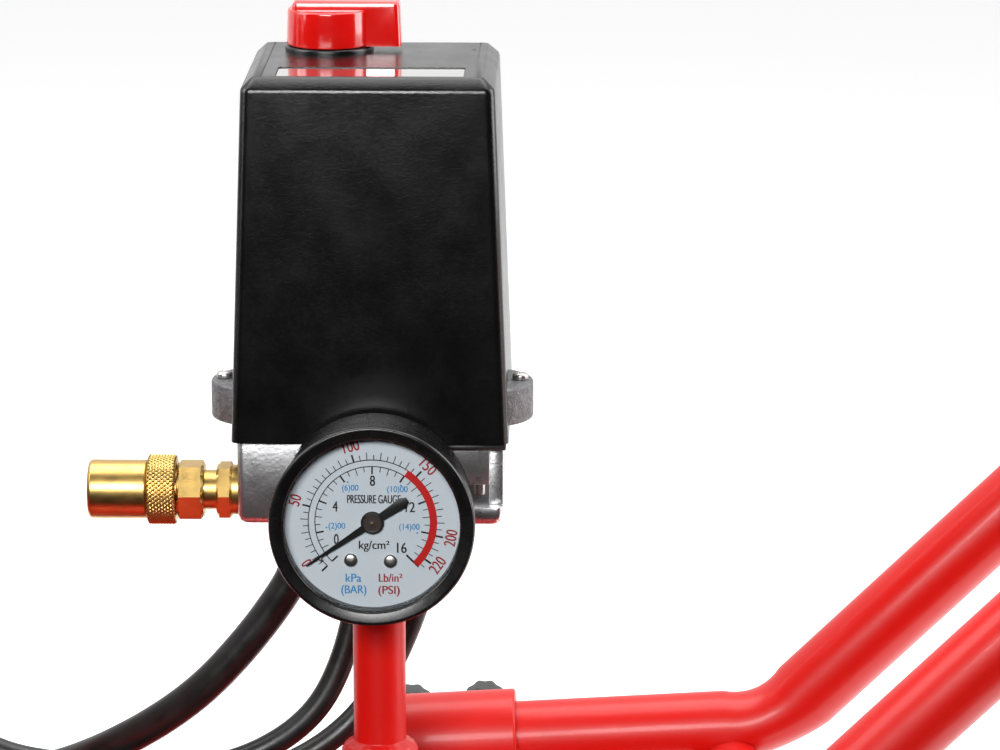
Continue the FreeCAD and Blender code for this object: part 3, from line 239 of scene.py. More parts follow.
def finishMaterial(name, look):
    # A material from one dictionary: two colours, wear, dust, grain and gloss
    material = bpy.data.materials.new(name)
    material.use_nodes = True
    tree = material.node_tree
    shader = tree.nodes["Principled BSDF"]
    mottle = useGroup(
        tree,
        "mottle",
        {
            "Color A": rgba(look["color"]),
            "Color B": rgba(look.get("second", look["color"])),
            "Patch Scale": look.get("patch", 40.0),
            "Speck Scale": look.get("speck", 900.0),
            "Speck Share": look.get("speckShare", 0.4),
        },
    )
    color = mottle.outputs["Color"]
    if "worn" in look:
        wear = useGroup(
            tree, "wear",
            {
                "Worn Color": rgba(look["worn"]), "Start": look.get("wearStart", 0.54),
                "Amount": look.get("wearAmount", 0.6)
            },
            {"Color": color}
        )
        color = wear.outputs["Color"]
    if "dust" in look:
        dust = useGroup(
            tree, "dust",
            {"Amount": look["dust"], "Dust Color": rgba(look.get("dustColor", (0.5, 0.48, 0.45)))},
            {"Color": color}
        )
        color = dust.outputs["Color"]
    tree.links.new(color, shader.inputs["Base Color"])
    low, high = look["rough"]
    roughness = addNode(
        tree, "MapRange", {"From Min": 0.0, "From Max": 1.0, "To Min": low, "To Max": high},
        {"Value": mottle.outputs["Mask"]}
    ).outputs["Result"]
    tree.links.new(roughness, shader.inputs["Roughness"])
    grain = useGroup(
        tree,
        "grain",
        {
            "Grain Scale": look.get("grain", 1500.0),
            "Lump Scale": look.get("lump", 300.0),
            "Lump Share": look.get("lumpShare", 0.3),
        },
    )
    bump = addNode(
        tree,
        "Bump",
        {"Strength": look.get("bump", 0.2), "Distance": look.get("bumpDepth", 0.0002)},
        {"Height": grain.outputs["Height"]},
    )
    tree.links.new(bump.outputs["Normal"], shader.inputs["Normal"])
    shader.inputs["Metallic"].default_value = look.get("metallic", 0.0)
    shader.inputs["Coat Weight"].default_value = look.get("coat", 0.0)
    shader.inputs["Coat Roughness"].default_value = look.get("coatRough", 0.05)
    shader.inputs["Specular IOR Level"].default_value = look.get("specular", 0.5)
    return material


looks = {
    "redPaint": dict(
        color=(0.6, 0.006, 0.003), second=(0.55, 0.005, 0.0025), patch=14, rough=(0.34, 0.42),
        specular=0.35, coat=0.12, coatRough=0.12, bump=0.12, bumpDepth=0.0003, grain=420, lump=110,
        lumpShare=0.8, speckShare=0.1
    ),
    "blackCover": dict(
        color=(0.0025, 0.0025, 0.0027), second=(0.0032, 0.0032, 0.0034), patch=60, rough=(0.2, 0.26),
        bump=0.3, bumpDepth=0.0002, grain=2100, lump=900, lumpShare=0.5, specular=0.5
    ),
    "redKnob": dict(
        color=(0.62, 0.006, 0.004), second=(0.57, 0.004, 0.003), patch=30, rough=(0.13, 0.2), coat=0.6,
        coatRough=0.05, bump=0.04, grain=300, specular=0.6
    ),
    "dieCast": dict(
        color=(0.74, 0.74, 0.75), second=(0.42, 0.42, 0.43), patch=150, speck=1500, speckShare=0.5,
        rough=(0.27, 0.38), metallic=0.95, bump=0.22, bumpDepth=0.0003, grain=900, lump=260, lumpShare=0.8,
        worn=(0.85, 0.85, 0.86), wearAmount=0.8
    ),
    "greyCast": dict(
        color=(0.20, 0.20, 0.205), second=(0.12, 0.12, 0.125), patch=500, speck=2600, speckShare=1.0,
        rough=(0.4, 0.62), metallic=0.55, bump=0.8, bumpDepth=0.0004, grain=1500, lump=700, lumpShare=0.8,
        worn=(0.5, 0.5, 0.5), wearAmount=0.5
    ),
    "brass": dict(
        color=(0.66, 0.44, 0.15), second=(0.6, 0.39, 0.12), patch=240, speck=1800, speckShare=0.5,
        rough=(0.28, 0.38), metallic=1.0, bump=0.1, bumpDepth=0.0001, grain=2600, lump=900, lumpShare=0.6
    ),
    "nickel": dict(
        color=(0.72, 0.71, 0.69), second=(0.5, 0.49, 0.47), patch=300, rough=(0.26, 0.4), metallic=1.0,
        bump=0.15, grain=900
    ),
    "castIron": dict(
        color=(0.022, 0.023, 0.025), second=(0.012, 0.012, 0.013), patch=70, rough=(0.42, 0.6), bump=0.7,
        bumpDepth=0.0006, grain=500, lump=160, lumpShare=1.0, dust=0.14
    ),
    "aluminium": dict(
        color=(0.62, 0.62, 0.63), second=(0.46, 0.46, 0.47), patch=90, speck=1200, rough=(0.32, 0.5),
        metallic=1.0, bump=0.5, bumpDepth=0.0005, grain=800, lump=200, lumpShare=0.9
    ),
    "blackPaint": dict(
        color=(0.009, 0.009, 0.0095), second=(0.014, 0.014, 0.014), patch=30, rough=(0.36, 0.5), bump=0.25,
        bumpDepth=0.0003, grain=700, lump=200, dust=0.1
    ),
    "gaugeBlack": dict(
        color=(0.004, 0.004, 0.004), second=(0.006, 0.006, 0.006), patch=80, rough=(0.22, 0.3), bump=0.04,
        grain=1800
    ),
    "softRubber": dict(
        color=(0.012, 0.012, 0.012), second=(0.02, 0.02, 0.02), patch=60, rough=(0.6, 0.8), bump=0.4,
        bumpDepth=0.0003, grain=1300, dust=0.2
    ),
    "tyreRubber": dict(
        color=(0.014, 0.014, 0.014), second=(0.024, 0.023, 0.022), patch=26, rough=(0.62, 0.85), bump=0.5,
        bumpDepth=0.0004, grain=900, lump=140, dust=0.3
    ),
    "cordSheath": dict(
        color=(0.0065, 0.0065, 0.0068), second=(0.01, 0.01, 0.01), patch=120, rough=(0.3, 0.44), bump=0.25,
        bumpDepth=0.0002, grain=700, lump=160, lumpShare=0.8
    ),
    "blackPlastic": dict(
        color=(0.008, 0.008, 0.008), second=(0.013, 0.013, 0.013), patch=50, rough=(0.4, 0.54), bump=0.35,
        grain=1600, dust=0.06
    ),
    "wheelPlastic": dict(
        color=(0.5, 0.012, 0.006), second=(0.44, 0.01, 0.005), patch=40, rough=(0.3, 0.42), bump=0.2,
        grain=900, dust=0.1
    ),
    "dialWhite": dict(
        color=(0.70, 0.77, 0.83), second=(0.67, 0.745, 0.81), patch=40, rough=(0.45, 0.55), bump=0.03,
        grain=900
    ),
    "labelGloss": dict(
        color=(0.78, 0.77, 0.76), second=(0.72, 0.71, 0.7), patch=60, rough=(0.04, 0.08), bump=0.02,
        metallic=0.95, grain=300
    ),
    "inkBlack": dict(color=(0.008, 0.008, 0.009), rough=(0.45, 0.55), bump=0.02),
    "inkRed": dict(color=(0.36, 0.012, 0.014), rough=(0.45, 0.55), bump=0.02),
    "bandRed": dict(color=(0.62, 0.008, 0.006), rough=(0.4, 0.5), bump=0.02),
    "inkBlue": dict(color=(0.03, 0.30, 0.62), rough=(0.45, 0.55), bump=0.02),
    "pointerBlack": dict(
        color=(0.007, 0.007, 0.007), second=(0.012, 0.012, 0.012), rough=(0.35, 0.45), bump=0.1, grain=1500
    ),
    "hubBrown": dict(
        color=(0.10, 0.08, 0.07), second=(0.07, 0.055, 0.05), rough=(0.35, 0.5), metallic=0.6, bump=0.2
    ),
    "steelGround": dict(
        color=(0.5, 0.5, 0.5), second=(0.4, 0.4, 0.4), patch=120, rough=(0.22, 0.36), metallic=1.0,
        bump=0.2, grain=1200
    )
}
materials = {name: finishMaterial(name, look) for name, look in looks.items()}


def lensMaterial():
    # Clear flat lens: almost nothing straight on, more at a slant
    material = bpy.data.materials.new("gaugeGlass")
    material.use_nodes = True
    tree = material.node_tree
    shader = tree.nodes["Principled BSDF"]
    slant = addNode(tree, "Fresnel", {"IOR": 1.4}).outputs["Fac"]
    tree.links.new(maths(tree, "ADD", slant, 0.015), shader.inputs["Alpha"])
    shader.inputs["Base Color"].default_value = (0.02, 0.02, 0.02, 1)
    shader.inputs["Roughness"].default_value = 0.03
    return material


materials["lens"] = lensMaterial()
print("materials ready")

# Mesh helpers


def turnTo(axis):
    # Rotation that takes +Z to the named axis
    target = {
        "x": (1, 0, 0), "-x": (-1, 0, 0), "y": (0, 1, 0), "-y": (0, -1, 0), "z": (0, 0, 1), "-z": (0, 0, -1)
    }
    direction = Vector(target[axis]) if isinstance(axis, str) else Vector(axis).normalized()
    return direction.to_track_quat("Z", "Y").to_matrix().to_4x4()


def newPiece(name, mesh, body, look, sharp=35):
    piece = bpy.data.objects.new(name, mesh)
    scene.collection.objects.link(piece)
    if mesh.polygons:
        mesh.shade_smooth()
        mesh.set_sharp_from_angle(angle=math.radians(sharp))
    mesh.materials.append(materials[look])
    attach(piece, body)
    return piece


def meshFrom(bm, name):
    bmesh.ops.recalc_face_normals(bm, faces=bm.faces)
    mesh = bpy.data.meshes.new(name)
    bm.to_mesh(mesh)
    bm.free()
    return mesh


def roundProfile(points, radius=0.0004, steps=3):
    # Profile points with each sharp corner replaced by a small arc
    out = []
    count = len(points)
    for i, here in enumerate(points):
        here = Vector(here)
        if i in (0, count - 1):
            out.append(tuple(here))
            continue
        before, after = Vector(points[i - 1]) - here, Vector(points[i + 1]) - here
        reach = min(radius, before.length * 0.45, after.length * 0.45)
        start, end = here + before.normalized() * reach, here + after.normalized() * reach
        for k in range(steps + 1):
            t = k / steps
            out.append(tuple(start * (1 - t) ** 2 + here * 2 * t * (1 - t) + end * t ** 2))
    return out


def lathe(bm, profile, at, axis="z", segments=96, shape=None):
    # Turns a profile of (radius, distance) round an axis. The shape function may change a point's radius
    place = Matrix.Translation(Vector(at)) @ turnTo(axis)
    rings = []
    for radius, along in profile:
        if radius < 1e-6:
            rings.append([bm.verts.new(place @ Vector((0, 0, along)))])
            continue
        ring = []
        for k in range(segments):
            angle = 2 * math.pi * k / segments
            r = shape(radius, along, angle) if shape else radius
            ring.append(bm.verts.new(place @ Vector((r * math.cos(angle), r * math.sin(angle), along))))
        rings.append(ring)
    for a, b in zip(rings, rings[1:]):
        for k in range(segments):
            n = (k + 1) % segments
            if len(a) == 1 and len(b) == 1:
                continue
            if len(a) == 1:
                bm.faces.new((a[0], b[k], b[n]))
            elif len(b) == 1:
                bm.faces.new((a[k], a[n], b[0]))
            else:
                bm.faces.new((a[k], a[n], b[n], b[k]))
    return rings


def dressPiece(piece, body, look, sharp=35):
    # Gives a finished mesh its material, shading, body and slot
    piece.data.materials.clear()
    piece.data.materials.append(materials[look])
    piece.data.shade_smooth()
    piece.data.set_sharp_from_angle(angle=math.radians(sharp))
    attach(piece, body)
    return piece


def turnedPiece(
    name, profile, at, axis, body, look, segments=96, shape=None, closed=False, rounding=0.0004, sharp=35
):
    bm = bmesh.new()
    if closed:
        points = roundProfile(profile + [profile[0], profile[1]], rounding)
        first = roundProfile([profile[-1], profile[0], profile[1]], rounding)[1:-1]
        points = first + roundProfile([profile[0], *profile[1:], profile[0]], rounding)[1:-1] + [first[0]]
    else:
        points = roundProfile(profile, rounding)
    lathe(bm, points, at, axis, segments, shape)
    bmesh.ops.remove_doubles(bm, verts=bm.verts, dist=1e-7)
    return newPiece(name, meshFrom(bm, name), body, look, sharp=sharp)


def hexShape(flats, edges=6, turn=0.0):
    # Radius function of a nut with slightly rounded corners

    def shape(radius, along, angle):
        sector = math.pi / edges
        local = (angle + turn) % (2 * sector) - sector
        return min(radius, flats / 2 / math.cos(local))

    return shape


def ringOf(width, depth, radius, cx, cy, z, steps=6):
    # Points round a rectangle with rounded corners
    points = []
    for corner, (sx, sy) in enumerate(((1, 1), (-1, 1), (-1, -1), (1, -1))):
        for k in range(steps + 1):
            angle = math.pi / 2 * (corner + k / steps)
            x = cx + sx * (width / 2 - radius) + radius * math.cos(angle)
            y = cy + sy * (depth / 2 - radius) + radius * math.sin(angle)
            points.append(Vector((x, y, z)))
    return points


def loftRings(bm, rings, capLow=True, capHigh=True):
    loops = [[bm.verts.new(p) for p in ring] for ring in rings]
    for a, b in zip(loops, loops[1:]):
        for k in range(len(a)):
            n = (k + 1) % len(a)
            bm.faces.new((a[k], a[n], b[n], b[k]))
    low = bm.faces.new(loops[0][::-1]) if capLow else None
    high = bm.faces.new(loops[-1]) if capHigh else None
    return low, high


def bevelled(piece, width=0.0004, segments=3, angle=30):
    modifier = piece.modifiers.new("edges", "BEVEL")
    modifier.width = width
    modifier.segments = segments
    modifier.limit_method = "ANGLE"
    modifier.angle_limit = math.radians(angle)
    modifier.harden_normals = True
    return piece


def settle(piece):
    # Applies the piece's modifiers to its mesh
    graph = bpy.context.evaluated_depsgraph_get()
    mesh = bpy.data.meshes.new_from_object(piece.evaluated_get(graph))
    old = piece.data
    piece.modifiers.clear()
    piece.data = mesh
    bpy.data.meshes.remove(old)
    return piece


def combine(piece, other, operation="DIFFERENCE"):
    modifier = piece.modifiers.new("combine", "BOOLEAN")
    modifier.operation = operation
    modifier.solver = "EXACT"
    modifier.use_self = True
    modifier.object = other
    bpy.context.view_layer.update()
    settle(piece)
    bpy.data.objects.remove(other)
    return piece


def helperObject(name, bm):
    piece = bpy.data.objects.new(name, meshFrom(bm, name))
    scene.collection.objects.link(piece)
    return piece


def blockMesh(bm, low, high):
    rings = []
    for z in (low[2], high[2]):
        rings.append(
            [
                Vector((x, y, z)) for x,
                y in ((low[0], low[1]), (high[0], low[1]), (high[0], high[1]), (low[0], high[1]))
            ]
        )
    loftRings(bm, rings)


def arcPath(corners, bends, step=math.radians(5)):
    # Points of straight runs joined by round bends, with each point's distance into its bend (0 to 1 to 0)
    corners = [Vector(c) for c in corners]
    points = [(corners[0], 0.0)]
    for i in range(1, len(corners) - 1):
        before = (corners[i] - corners[i - 1]).normalized()
        after = (corners[i + 1] - corners[i]).normalized()
        turn = before.angle(after)
        setback = bends[i - 1] * math.tan(turn / 2)
        start = corners[i] - before * setback
        centre = corners[i] + (after - before).normalized() * (bends[i - 1] / math.cos(turn / 2))
        axis = before.cross(after).normalized()
        count = max(4, math.ceil(turn / step))
        for k in range(count + 1):
            arm = Matrix.Rotation(turn * k / count, 3, axis) @ (start - centre)
            points.append((centre + arm, math.sin(math.pi * k / count)))
    points.append((corners[-1], 0.0))
    return points


def sweepTube(bm, path, radius, inner=None, flatten=0.0, segments=64):
    # A tube along a path that lies in planes, pressed a little flat inside its bends
    points = [p for p, share in path]
    count = len(points)
    tangents = []
    for i in range(count):
        a, b = points[max(i - 1, 0)], points[min(i + 1, count - 1)]
        tangents.append((b - a).normalized())
    side = tangents[0].orthogonal().normalized()
    frames = []
    for i, tangent in enumerate(tangents):
        side = (side - tangent * side.dot(tangent)).normalized()
        frames.append((side.copy(), tangent.cross(side)))
    loops = []
    for r in (radius, inner) if inner else (radius,):
        rings = []
        for i, (point, share) in enumerate(path):
            u, v = frames[i]
            bendNormal = Vector((0, 0, 0))
            if share > 0.01 and 0 < i < count - 1:
                bendNormal = (points[i + 1] - 2 * points[i] + points[i - 1])
                if bendNormal.length > 1e-9:
                    bendNormal.normalize()
            ring = []
            for k in range(segments):
                angle = 2 * math.pi * k / segments
                arm = (u * math.cos(angle) + v * math.sin(angle)) * r
                arm -= bendNormal * arm.dot(bendNormal) * flatten * share
                ring.append(bm.verts.new(point + arm))
            rings.append(ring)
        for a, b in zip(rings, rings[1:]):
            for k in range(segments):
                n = (k + 1) % segments
                bm.faces.new((a[k], a[n], b[n], b[k]))
        loops.append(rings)
    for end in (0, -1):
        if inner:
            outerRing, innerRing = loops[0][end], loops[1][end]
            for k in range(segments):
                n = (k + 1) % segments
                bm.faces.new((outerRing[k], outerRing[n], innerRing[n], innerRing[k]))
        else:
            bm.faces.new(loops[0][end])


# Camera, light and floor

cameraView = {"right": 0.0693, "back": 1.3884, "above": 0.3747, "yaw": 1.24, "pitch": 13.61, "lens": 160.6}
cameraData = bpy.data.cameras.new("camera")
cameraData.lens = cameraView["lens"]
cameraData.sensor_width = 36
cameraData.clip_end = 50
camera = bpy.data.objects.new("camera", cameraData)
camera.location = (riserX + cameraView["right"], -cameraView["back"], headZ + cameraView["above"])
camera.rotation_euler = (math.radians(90 - cameraView["pitch"]), 0, math.radians(cameraView["yaw"]))
scene.collection.objects.link(camera)
scene.camera = camera
scene.view_settings.view_transform = "Standard"
scene.view_settings.look = "None"

lightRig = {
    "leftBox": dict(at=(-1.5, -0.25, 1.3), look=(0.1, 0, 0.5), size=(1.0, 1.6), power=26),
    "rightBox": dict(at=(1.75, 0.1, 1.1), look=(0.15, 0, 0.45), size=(0.9, 1.6), power=26),
    "topBox": dict(at=(0.1, 0.35, 2.2), look=(0.1, 0, 0.4), size=(2.2, 1.4), power=38),
    "frontHigh": dict(at=(-0.1, -1.85, 1.3), look=(0.12, 0, 0.4), size=(1.1, 0.5), power=38),
}


def addLight(name, at, look, size, power):
    data = bpy.data.lights.new(name, "AREA")
    data.shape = "RECTANGLE"
    data.size, data.size_y = size
    data.energy = power
    light = bpy.data.objects.new(name, data)
    light.location = at
    light.rotation_euler = (Vector(look) - Vector(at)).to_track_quat("-Z", "Y").to_euler()
    scene.collection.objects.link(light)


for name, values in lightRig.items():
    addLight(name, **values)


def studioWorld():
    # White all round, with a dim front so that faces towards the viewer keep their own colour
    world = bpy.data.worlds.new("studio")
    scene.world = world
    world.use_nodes = True
    tree = world.node_tree
    background = tree.nodes["Background"]
    direction = addNode(tree, "TexCoord").outputs["Generated"]
    parts = addNode(tree, "SeparateXYZ", links={0: direction})
    back = addNode(
        tree, "MapRange", {"From Min": -0.15, "From Max": 0.35, "To Min": 0.01, "To Max": 0.95},
        {"Value": parts.outputs["Y"]}
    ).outputs["Result"]
    seen = addNode(tree, "LightPath").outputs["Is Camera Ray"]
    strength = addNode(
        tree, "Mix", {"B": 1.0}, {"Factor": seen, "A": back}, data_type="FLOAT"
    ).outputs["Result"]
    tree.links.new(strength, background.inputs["Strength"])
    background.inputs["Color"].default_value = (1, 1, 1, 1)


studioWorld()


def paleFloor():
    bm = bmesh.new()
    corners = [bm.verts.new(p) for p in ((-8, -0.3, 0), (8, -0.3, 0), (8, 12, 0), (-8, 12, 0))]
    bm.faces.new(corners)
    floor = bpy.data.objects.new("floor", meshFrom(bm, "floor"))
    scene.collection.objects.link(floor)
    material = bpy.data.materials.new("paleFloor")
    material.use_nodes = True
    shader = material.node_tree.nodes["Principled BSDF"]
    shader.inputs["Base Color"].default_value = (0.9, 0.9, 0.9, 1)
    shader.inputs["Roughness"].default_value = 0.6
    shader.inputs["Emission Color"].default_value = (1, 1, 1, 1)
    shader.inputs["Emission Strength"].default_value = 0.45
    floor.data.materials.append(material)


paleFloor()
print("camera and light ready")


def at(x, y, z):
    # A place counted in millimetres from the riser's line, the middle plane and the gauge's height
    return Vector((riserX + x * mm, y * mm, headZ + z * mm))


# Pressure switch cover

coverLook = {
    "front": -17.1, "back": 58.5, "bottomWidth": 88.4, "topWidth": 79.8, "base": 19.7, "top": 137.1,
    "chamfer": 3.6, "corner": 3.4, "wall": 2.4, "middle": -1.9, "label": (-1.4, -2.7, 59.2, 16.8)
}


def switchCover():
    v = coverLook
    depth = v["back"] - v["front"]
    centre = at(v["middle"], (v["back"] + v["front"]) / 2, 0)
    shoulder = v["top"] - v["chamfer"]
    stages = [
        (v["base"], v["bottomWidth"], 0, v["corner"]),
        (shoulder - 1.0, v["topWidth"] + 0.08, 0, v["corner"]),
        (shoulder, v["topWidth"] - 0.3, 0.15, v["corner"]),
        (shoulder + 0.6, v["topWidth"] - 1.1, 0.55, v["corner"] - 0.4),
        (v["top"] - 0.5, v["topWidth"] - 6.3, 3.15, v["corner"] - 1.6),
        (v["top"] - 0.1, v["topWidth"] - 7.3, 3.65, v["corner"] - 1.9),
        (v["top"], v["topWidth"] - 8.0, 4.0, v["corner"] - 2.1),
    ]
    bm = bmesh.new()
    rings = [
        ringOf(width * mm, (depth - inset * 2) * mm, corner * mm, centre.x, centre.y, headZ + z * mm, 8)
        for z, width, inset, corner in stages
    ]
    loftRings(bm, rings, capLow=False)
    cover = helperObject("switchCover", bm)
    shell = cover.modifiers.new("wall", "SOLIDIFY")
    shell.thickness = v["wall"] * mm
    shell.offset = -1
    bpy.context.view_layer.update()
    settle(cover)
    x, y, width, length = v["label"]
    cuts = bmesh.new()
    pocket = [
        ringOf(width * mm, length * mm, 0.8 * mm, riserX + x * mm, y * mm, headZ + z * mm)
        for z in (136.55, 139)
    ]
    loftRings(cuts, pocket)
    for lineX in (-35.3, 31.9):
        blockMesh(cuts, at(lineX - 0.22, -13.3, 136.8), at(lineX + 0.22, 54.5, 138))
    for holeX, holeY in ((-27.5, 15.0), (30.0, 40.0)):
        lathe(cuts, [(0, 136.7), (0.7, 136.7), (0.7, 138), (0, 138)], (0, 0, 0), "z", 16)
        for vert in cuts.verts[-34:]:
            radial = Vector((vert.co.x, vert.co.y, 0)) * mm
            vert.co = at(holeX, holeY, vert.co.z) + radial
    combine(cover, helperObject("coverCuts", cuts))
    dressPiece(cover, "frame", "blackCover", 28)
    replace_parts(cover, "switch_cover")
    bm = bmesh.new()
    plate = [
        ringOf((width - 0.4) * mm, (length - 0.4) * mm, 0.7 * mm, riserX + x * mm, y * mm, headZ + z * mm)
        for z in (136.5, 136.8)
    ]
    loftRings(bm, plate)
    newPiece("labelWindow", meshFrom(bm, "labelWindow"), "frame", "labelGloss")
    profile = [(14.4, 136.9), (14.4, 138.0), (14.0, 138.5), (4.7, 138.5), (4.7, 137)]
    profile = [(r * mm, (z - 130) * mm) for r, z in profile]
    turnedPiece("knobCollar", profile, at(-17, 42.5, 130), "z", "frame", "blackCover")


switchCover()

# Selector knob

knobLook = {
    "x": -17, "y": 42.5, "low": 138.7, "height": 11.7, "radius": 13.9, "wing": (-12.4, 23.6),
    "wingWidth": 13.0, "wingHeight": 14.0
}


def selectorKnob():
    v = knobLook
    profile = [(0, 0), (v["radius"], 0), (v["radius"] - 0.45, v["height"]), (0, v["height"])]
    bm = bmesh.new()
    lathe(
        bm, roundProfile([(r * mm, z * mm) for r, z in profile], 0.7 * mm, 4), at(v["x"], v["y"], v["low"]),
        "z", 128
    )
    knob = helperObject("selectorKnob", bm)
    start, end = v["wing"]
    middleX, length = v["x"] + (start + end) / 2, end - start
    bm = bmesh.new()
    rings = []
    for rise, shrink, corner in (
        (0, 0, 2.2), (v["wingHeight"] - 1.2, 1.2, 1.9), (v["wingHeight"] - 0.35, 1.7, 1.7),
        (v["wingHeight"], 2.7, 1.3)
    ):
        centre = at(middleX, v["y"], v["low"] + rise)
        rings.append(
            ringOf(
                (length - shrink) * mm, (v["wingWidth"] - shrink) * mm, corner * mm, centre.x, centre.y,
                centre.z, 8
            )
        )
    loftRings(bm, rings)
    combine(knob, helperObject("knobWing", bm), "UNION")
    dressPiece(knob, "selector", "redKnob", 38)
    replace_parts(knob, "selector_knob")
    shaft = [(0, 120.0), (4.4, 120.1), (4.4, 139.5), (0, 139.5)]
    turnedPiece(
        "knobShaft", [(r * mm, (z - 120) * mm) for r, z in shaft], at(v["x"], v["y"], 120), "z", "selector",
        "redKnob", 48
    )


selectorKnob()

# Cover lugs, screws and base plate

earLook = {
    "radius": 16.5, "reach": 51.8, "centreY": 4.7, "low": 23.9, "high": 36.1, "inner": 43.2, "screwX": 47.6
}


def switchBase():
    # The base plate: whole behind the manifold, and a strip on top of it at the right
    bm = bmesh.new()
    left, right, notch, front, back, notchY = -45.3, 41.5, 22.4, -15.9, 57.3, 30.4
    outline = [(notch, front), (right, front), (right, back), (left, back), (left, notchY), (notch, notchY)]
    rings = [[at(x, y, z) for x, y in outline] for z in (17.5, 19.6)]
    loftRings(bm, rings)
    base = helperObject("switchBase", bm)
    ports = bmesh.new()
    for x in (-25, -6, 18):
        lathe(ports, [(0, 0), (5.9 * mm, 0), (5.9 * mm, 6 * mm), (0, 6 * mm)], at(x, 42, 15.5), "z", 40)
    combine(base, helperObject("basePorts", ports))
    bevelled(base, 0.6 * mm, 3, 40)
    settle(base)
    dressPiece(base, "frame", "blackPlastic", 40)
    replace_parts(base, "switch_base")


def coverLugs():
    # A half-round lug on each side of the cover, with its screw
    v = earLook
    for side, label in ((-1, "Left"), (1, "Right")):
        half = math.acos((v["inner"] - v["reach"] + v["radius"]) / v["radius"])
        bm = bmesh.new()
        rings = []
        for z, inset in (
            (v["low"], 0.6), (v["low"] + 0.25, 0.2), (v["low"] + 0.7, 0.0), (v["high"] - 1.0, 0.0),
            (v["high"] - 0.45, 0.15), (v["high"] - 0.12, 0.5), (v["high"], 1.0)
        ):
            arc = []
            for k in range(33):
                angle = half - 2 * half * k / 32
                r = v["radius"] - inset
                x = v["reach"] - v["radius"] + r * math.cos(angle)
                arc.append(at(-1.9 + side * x, v["centreY"] + side * r * math.sin(angle), z))
            rings.append([at(-1.9 + side * 42.4, v["centreY"] + side * 13.6 * s, z) for s in (-1, 1)] + arc)
        loftRings(bm, rings)
        ear = helperObject("switchEar" + label, bm)
        hole = bmesh.new()
        lathe(
            hole, [(0, -2.4 * mm), (1.9 * mm, -2.4 * mm), (1.9 * mm, 3 * mm), (0, 3 * mm)],
            at(-1.9 + side * v["screwX"], v["centreY"], v["high"]), "z", 24
        )
        combine(ear, helperObject("earHole", hole))
        dressPiece(ear, "frame", "greyCast", 32)
        coverScrew(side, label)


def crossRecess(centre, axis, reach, width, depth):
    bm = bmesh.new()
    place = Matrix.Translation(centre) @ turnTo(axis)
    for along, across in ((reach, width), (width, reach)):
        rings = []
        for z, scale in ((-depth, 0.35), (depth, 1.6)):
            ring = ringOf(along * scale, across * min(scale, 1.0), width * 0.2, 0, 0, z, 2)
            rings.append([place @ p for p in ring])
        loftRings(bm, rings)
    return helperObject("recess", bm)


def coverScrew(side, label):
    v = earLook
    head = [(0, 0), (2.6, 0), (2.6, 1.3), (2.2, 1.85), (1.2, 2.15), (0, 2.25)]
    place = at(-1.9 + side * v["screwX"], v["centreY"], v["high"] + 0.05)
    screw = turnedPiece(
        "coverScrew" + label, [(r * mm, z * mm) for r, z in head], place, "z", "frame", "nickel", 64
    )
    shank = [(0, -10.4), (1.45, -10.4), (1.45, 0.2), (0, 0.2)]
    turnedPiece(
        "screwShank" + label, [(r * mm, z * mm) for r, z in shank], place, "z", "frame", "nickel", 32
    )
    recess = crossRecess(place + Vector((0, 0, 2.2 * mm)), "z", 2.9 * mm, 0.62 * mm, 1.3 * mm)
    combine(screw, recess)
    if side > 0:
        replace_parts(screw, "cover_screws")


switchBase()
coverLugs()
print("switch ready")

# Die-cast manifold

manifoldLook = {"left": -44.3, "right": 40.5, "front": -15, "back": 30, "low": -7.5, "high": 17.3}


def manifold():
    v = manifoldLook
    bm = bmesh.new()
    width, depth = v["right"] - v["left"], v["back"] - v["front"]
    cx, cy = riserX + (v["right"] + v["left"]) / 2 * mm, (v["back"] + v["front"]) / 2 * mm
    rings = []
    for z, inset in (
        (v["low"], 2.2), (v["low"] + 0.4, 1.2), (v["low"] + 1.3, 0.45), (v["low"] + 2.8, 0.0),
        (v["high"] + 2.3, 0.0)
    ):
        rings.append(
            ringOf((width - inset * 2) * mm, (depth - inset * 2) * mm, 2.2 * mm, cx, cy, headZ + z * mm, 6)
        )
    loftRings(bm, rings)
    block = helperObject("manifold", bm)
    cuts = bmesh.new()
    blockMesh(cuts, at(22.0, -20, 17.3), at(48, 35, 22))
    blockMesh(cuts, at(36.2, -20, -1.6), at(45, -10.6, 22))
    blockMesh(cuts, at(23.6, -20, -1.6), at(40, -12.8, 6.0))
    lathe(cuts, [(0, 0), (8.9 * mm, 0), (8.9 * mm, 6 * mm), (0, 6 * mm)], at(0, 0, -8.2), "z", 48)
    combine(block, helperObject("manifoldCuts", cuts))
    bevelled(block, 0.8 * mm, 4, 35)
    settle(block)
    dressPiece(block, "frame", "dieCast", 35)
    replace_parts(block, "switch_manifold")
    pin = [(0, 0), (1.7, 0), (1.9, 0.3), (1.9, 12), (0, 12)]
    valve = turnedPiece(
        "unloaderValve", [(r * mm, z * mm) for r, z in pin], at(33.0, -12.4, 2.4), "z", "frame", "nickel",
        48
    )
    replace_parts(valve, "unloader_valve")


manifold()

# Pressure gauge

gaugeLook = {
    "front": -45.0, "radius": 32.4, "window": 27.7, "dialY": -38.5, "zero": 225.0, "perUnit": 16.875,
    "psiPerUnit": 14.223, "innerCircle": 18.1, "outerCircle": 20.2, "line": 0.3, "lift": 0.05
}
printJoin = {}


def dialAt(x, z, lift=0.0):
    return at(x, gaugeLook["dialY"] - gaugeLook["lift"] - lift, z)


def printBuffer(ink):
    if ink not in printJoin:
        printJoin[ink] = bmesh.new()
    return printJoin[ink]


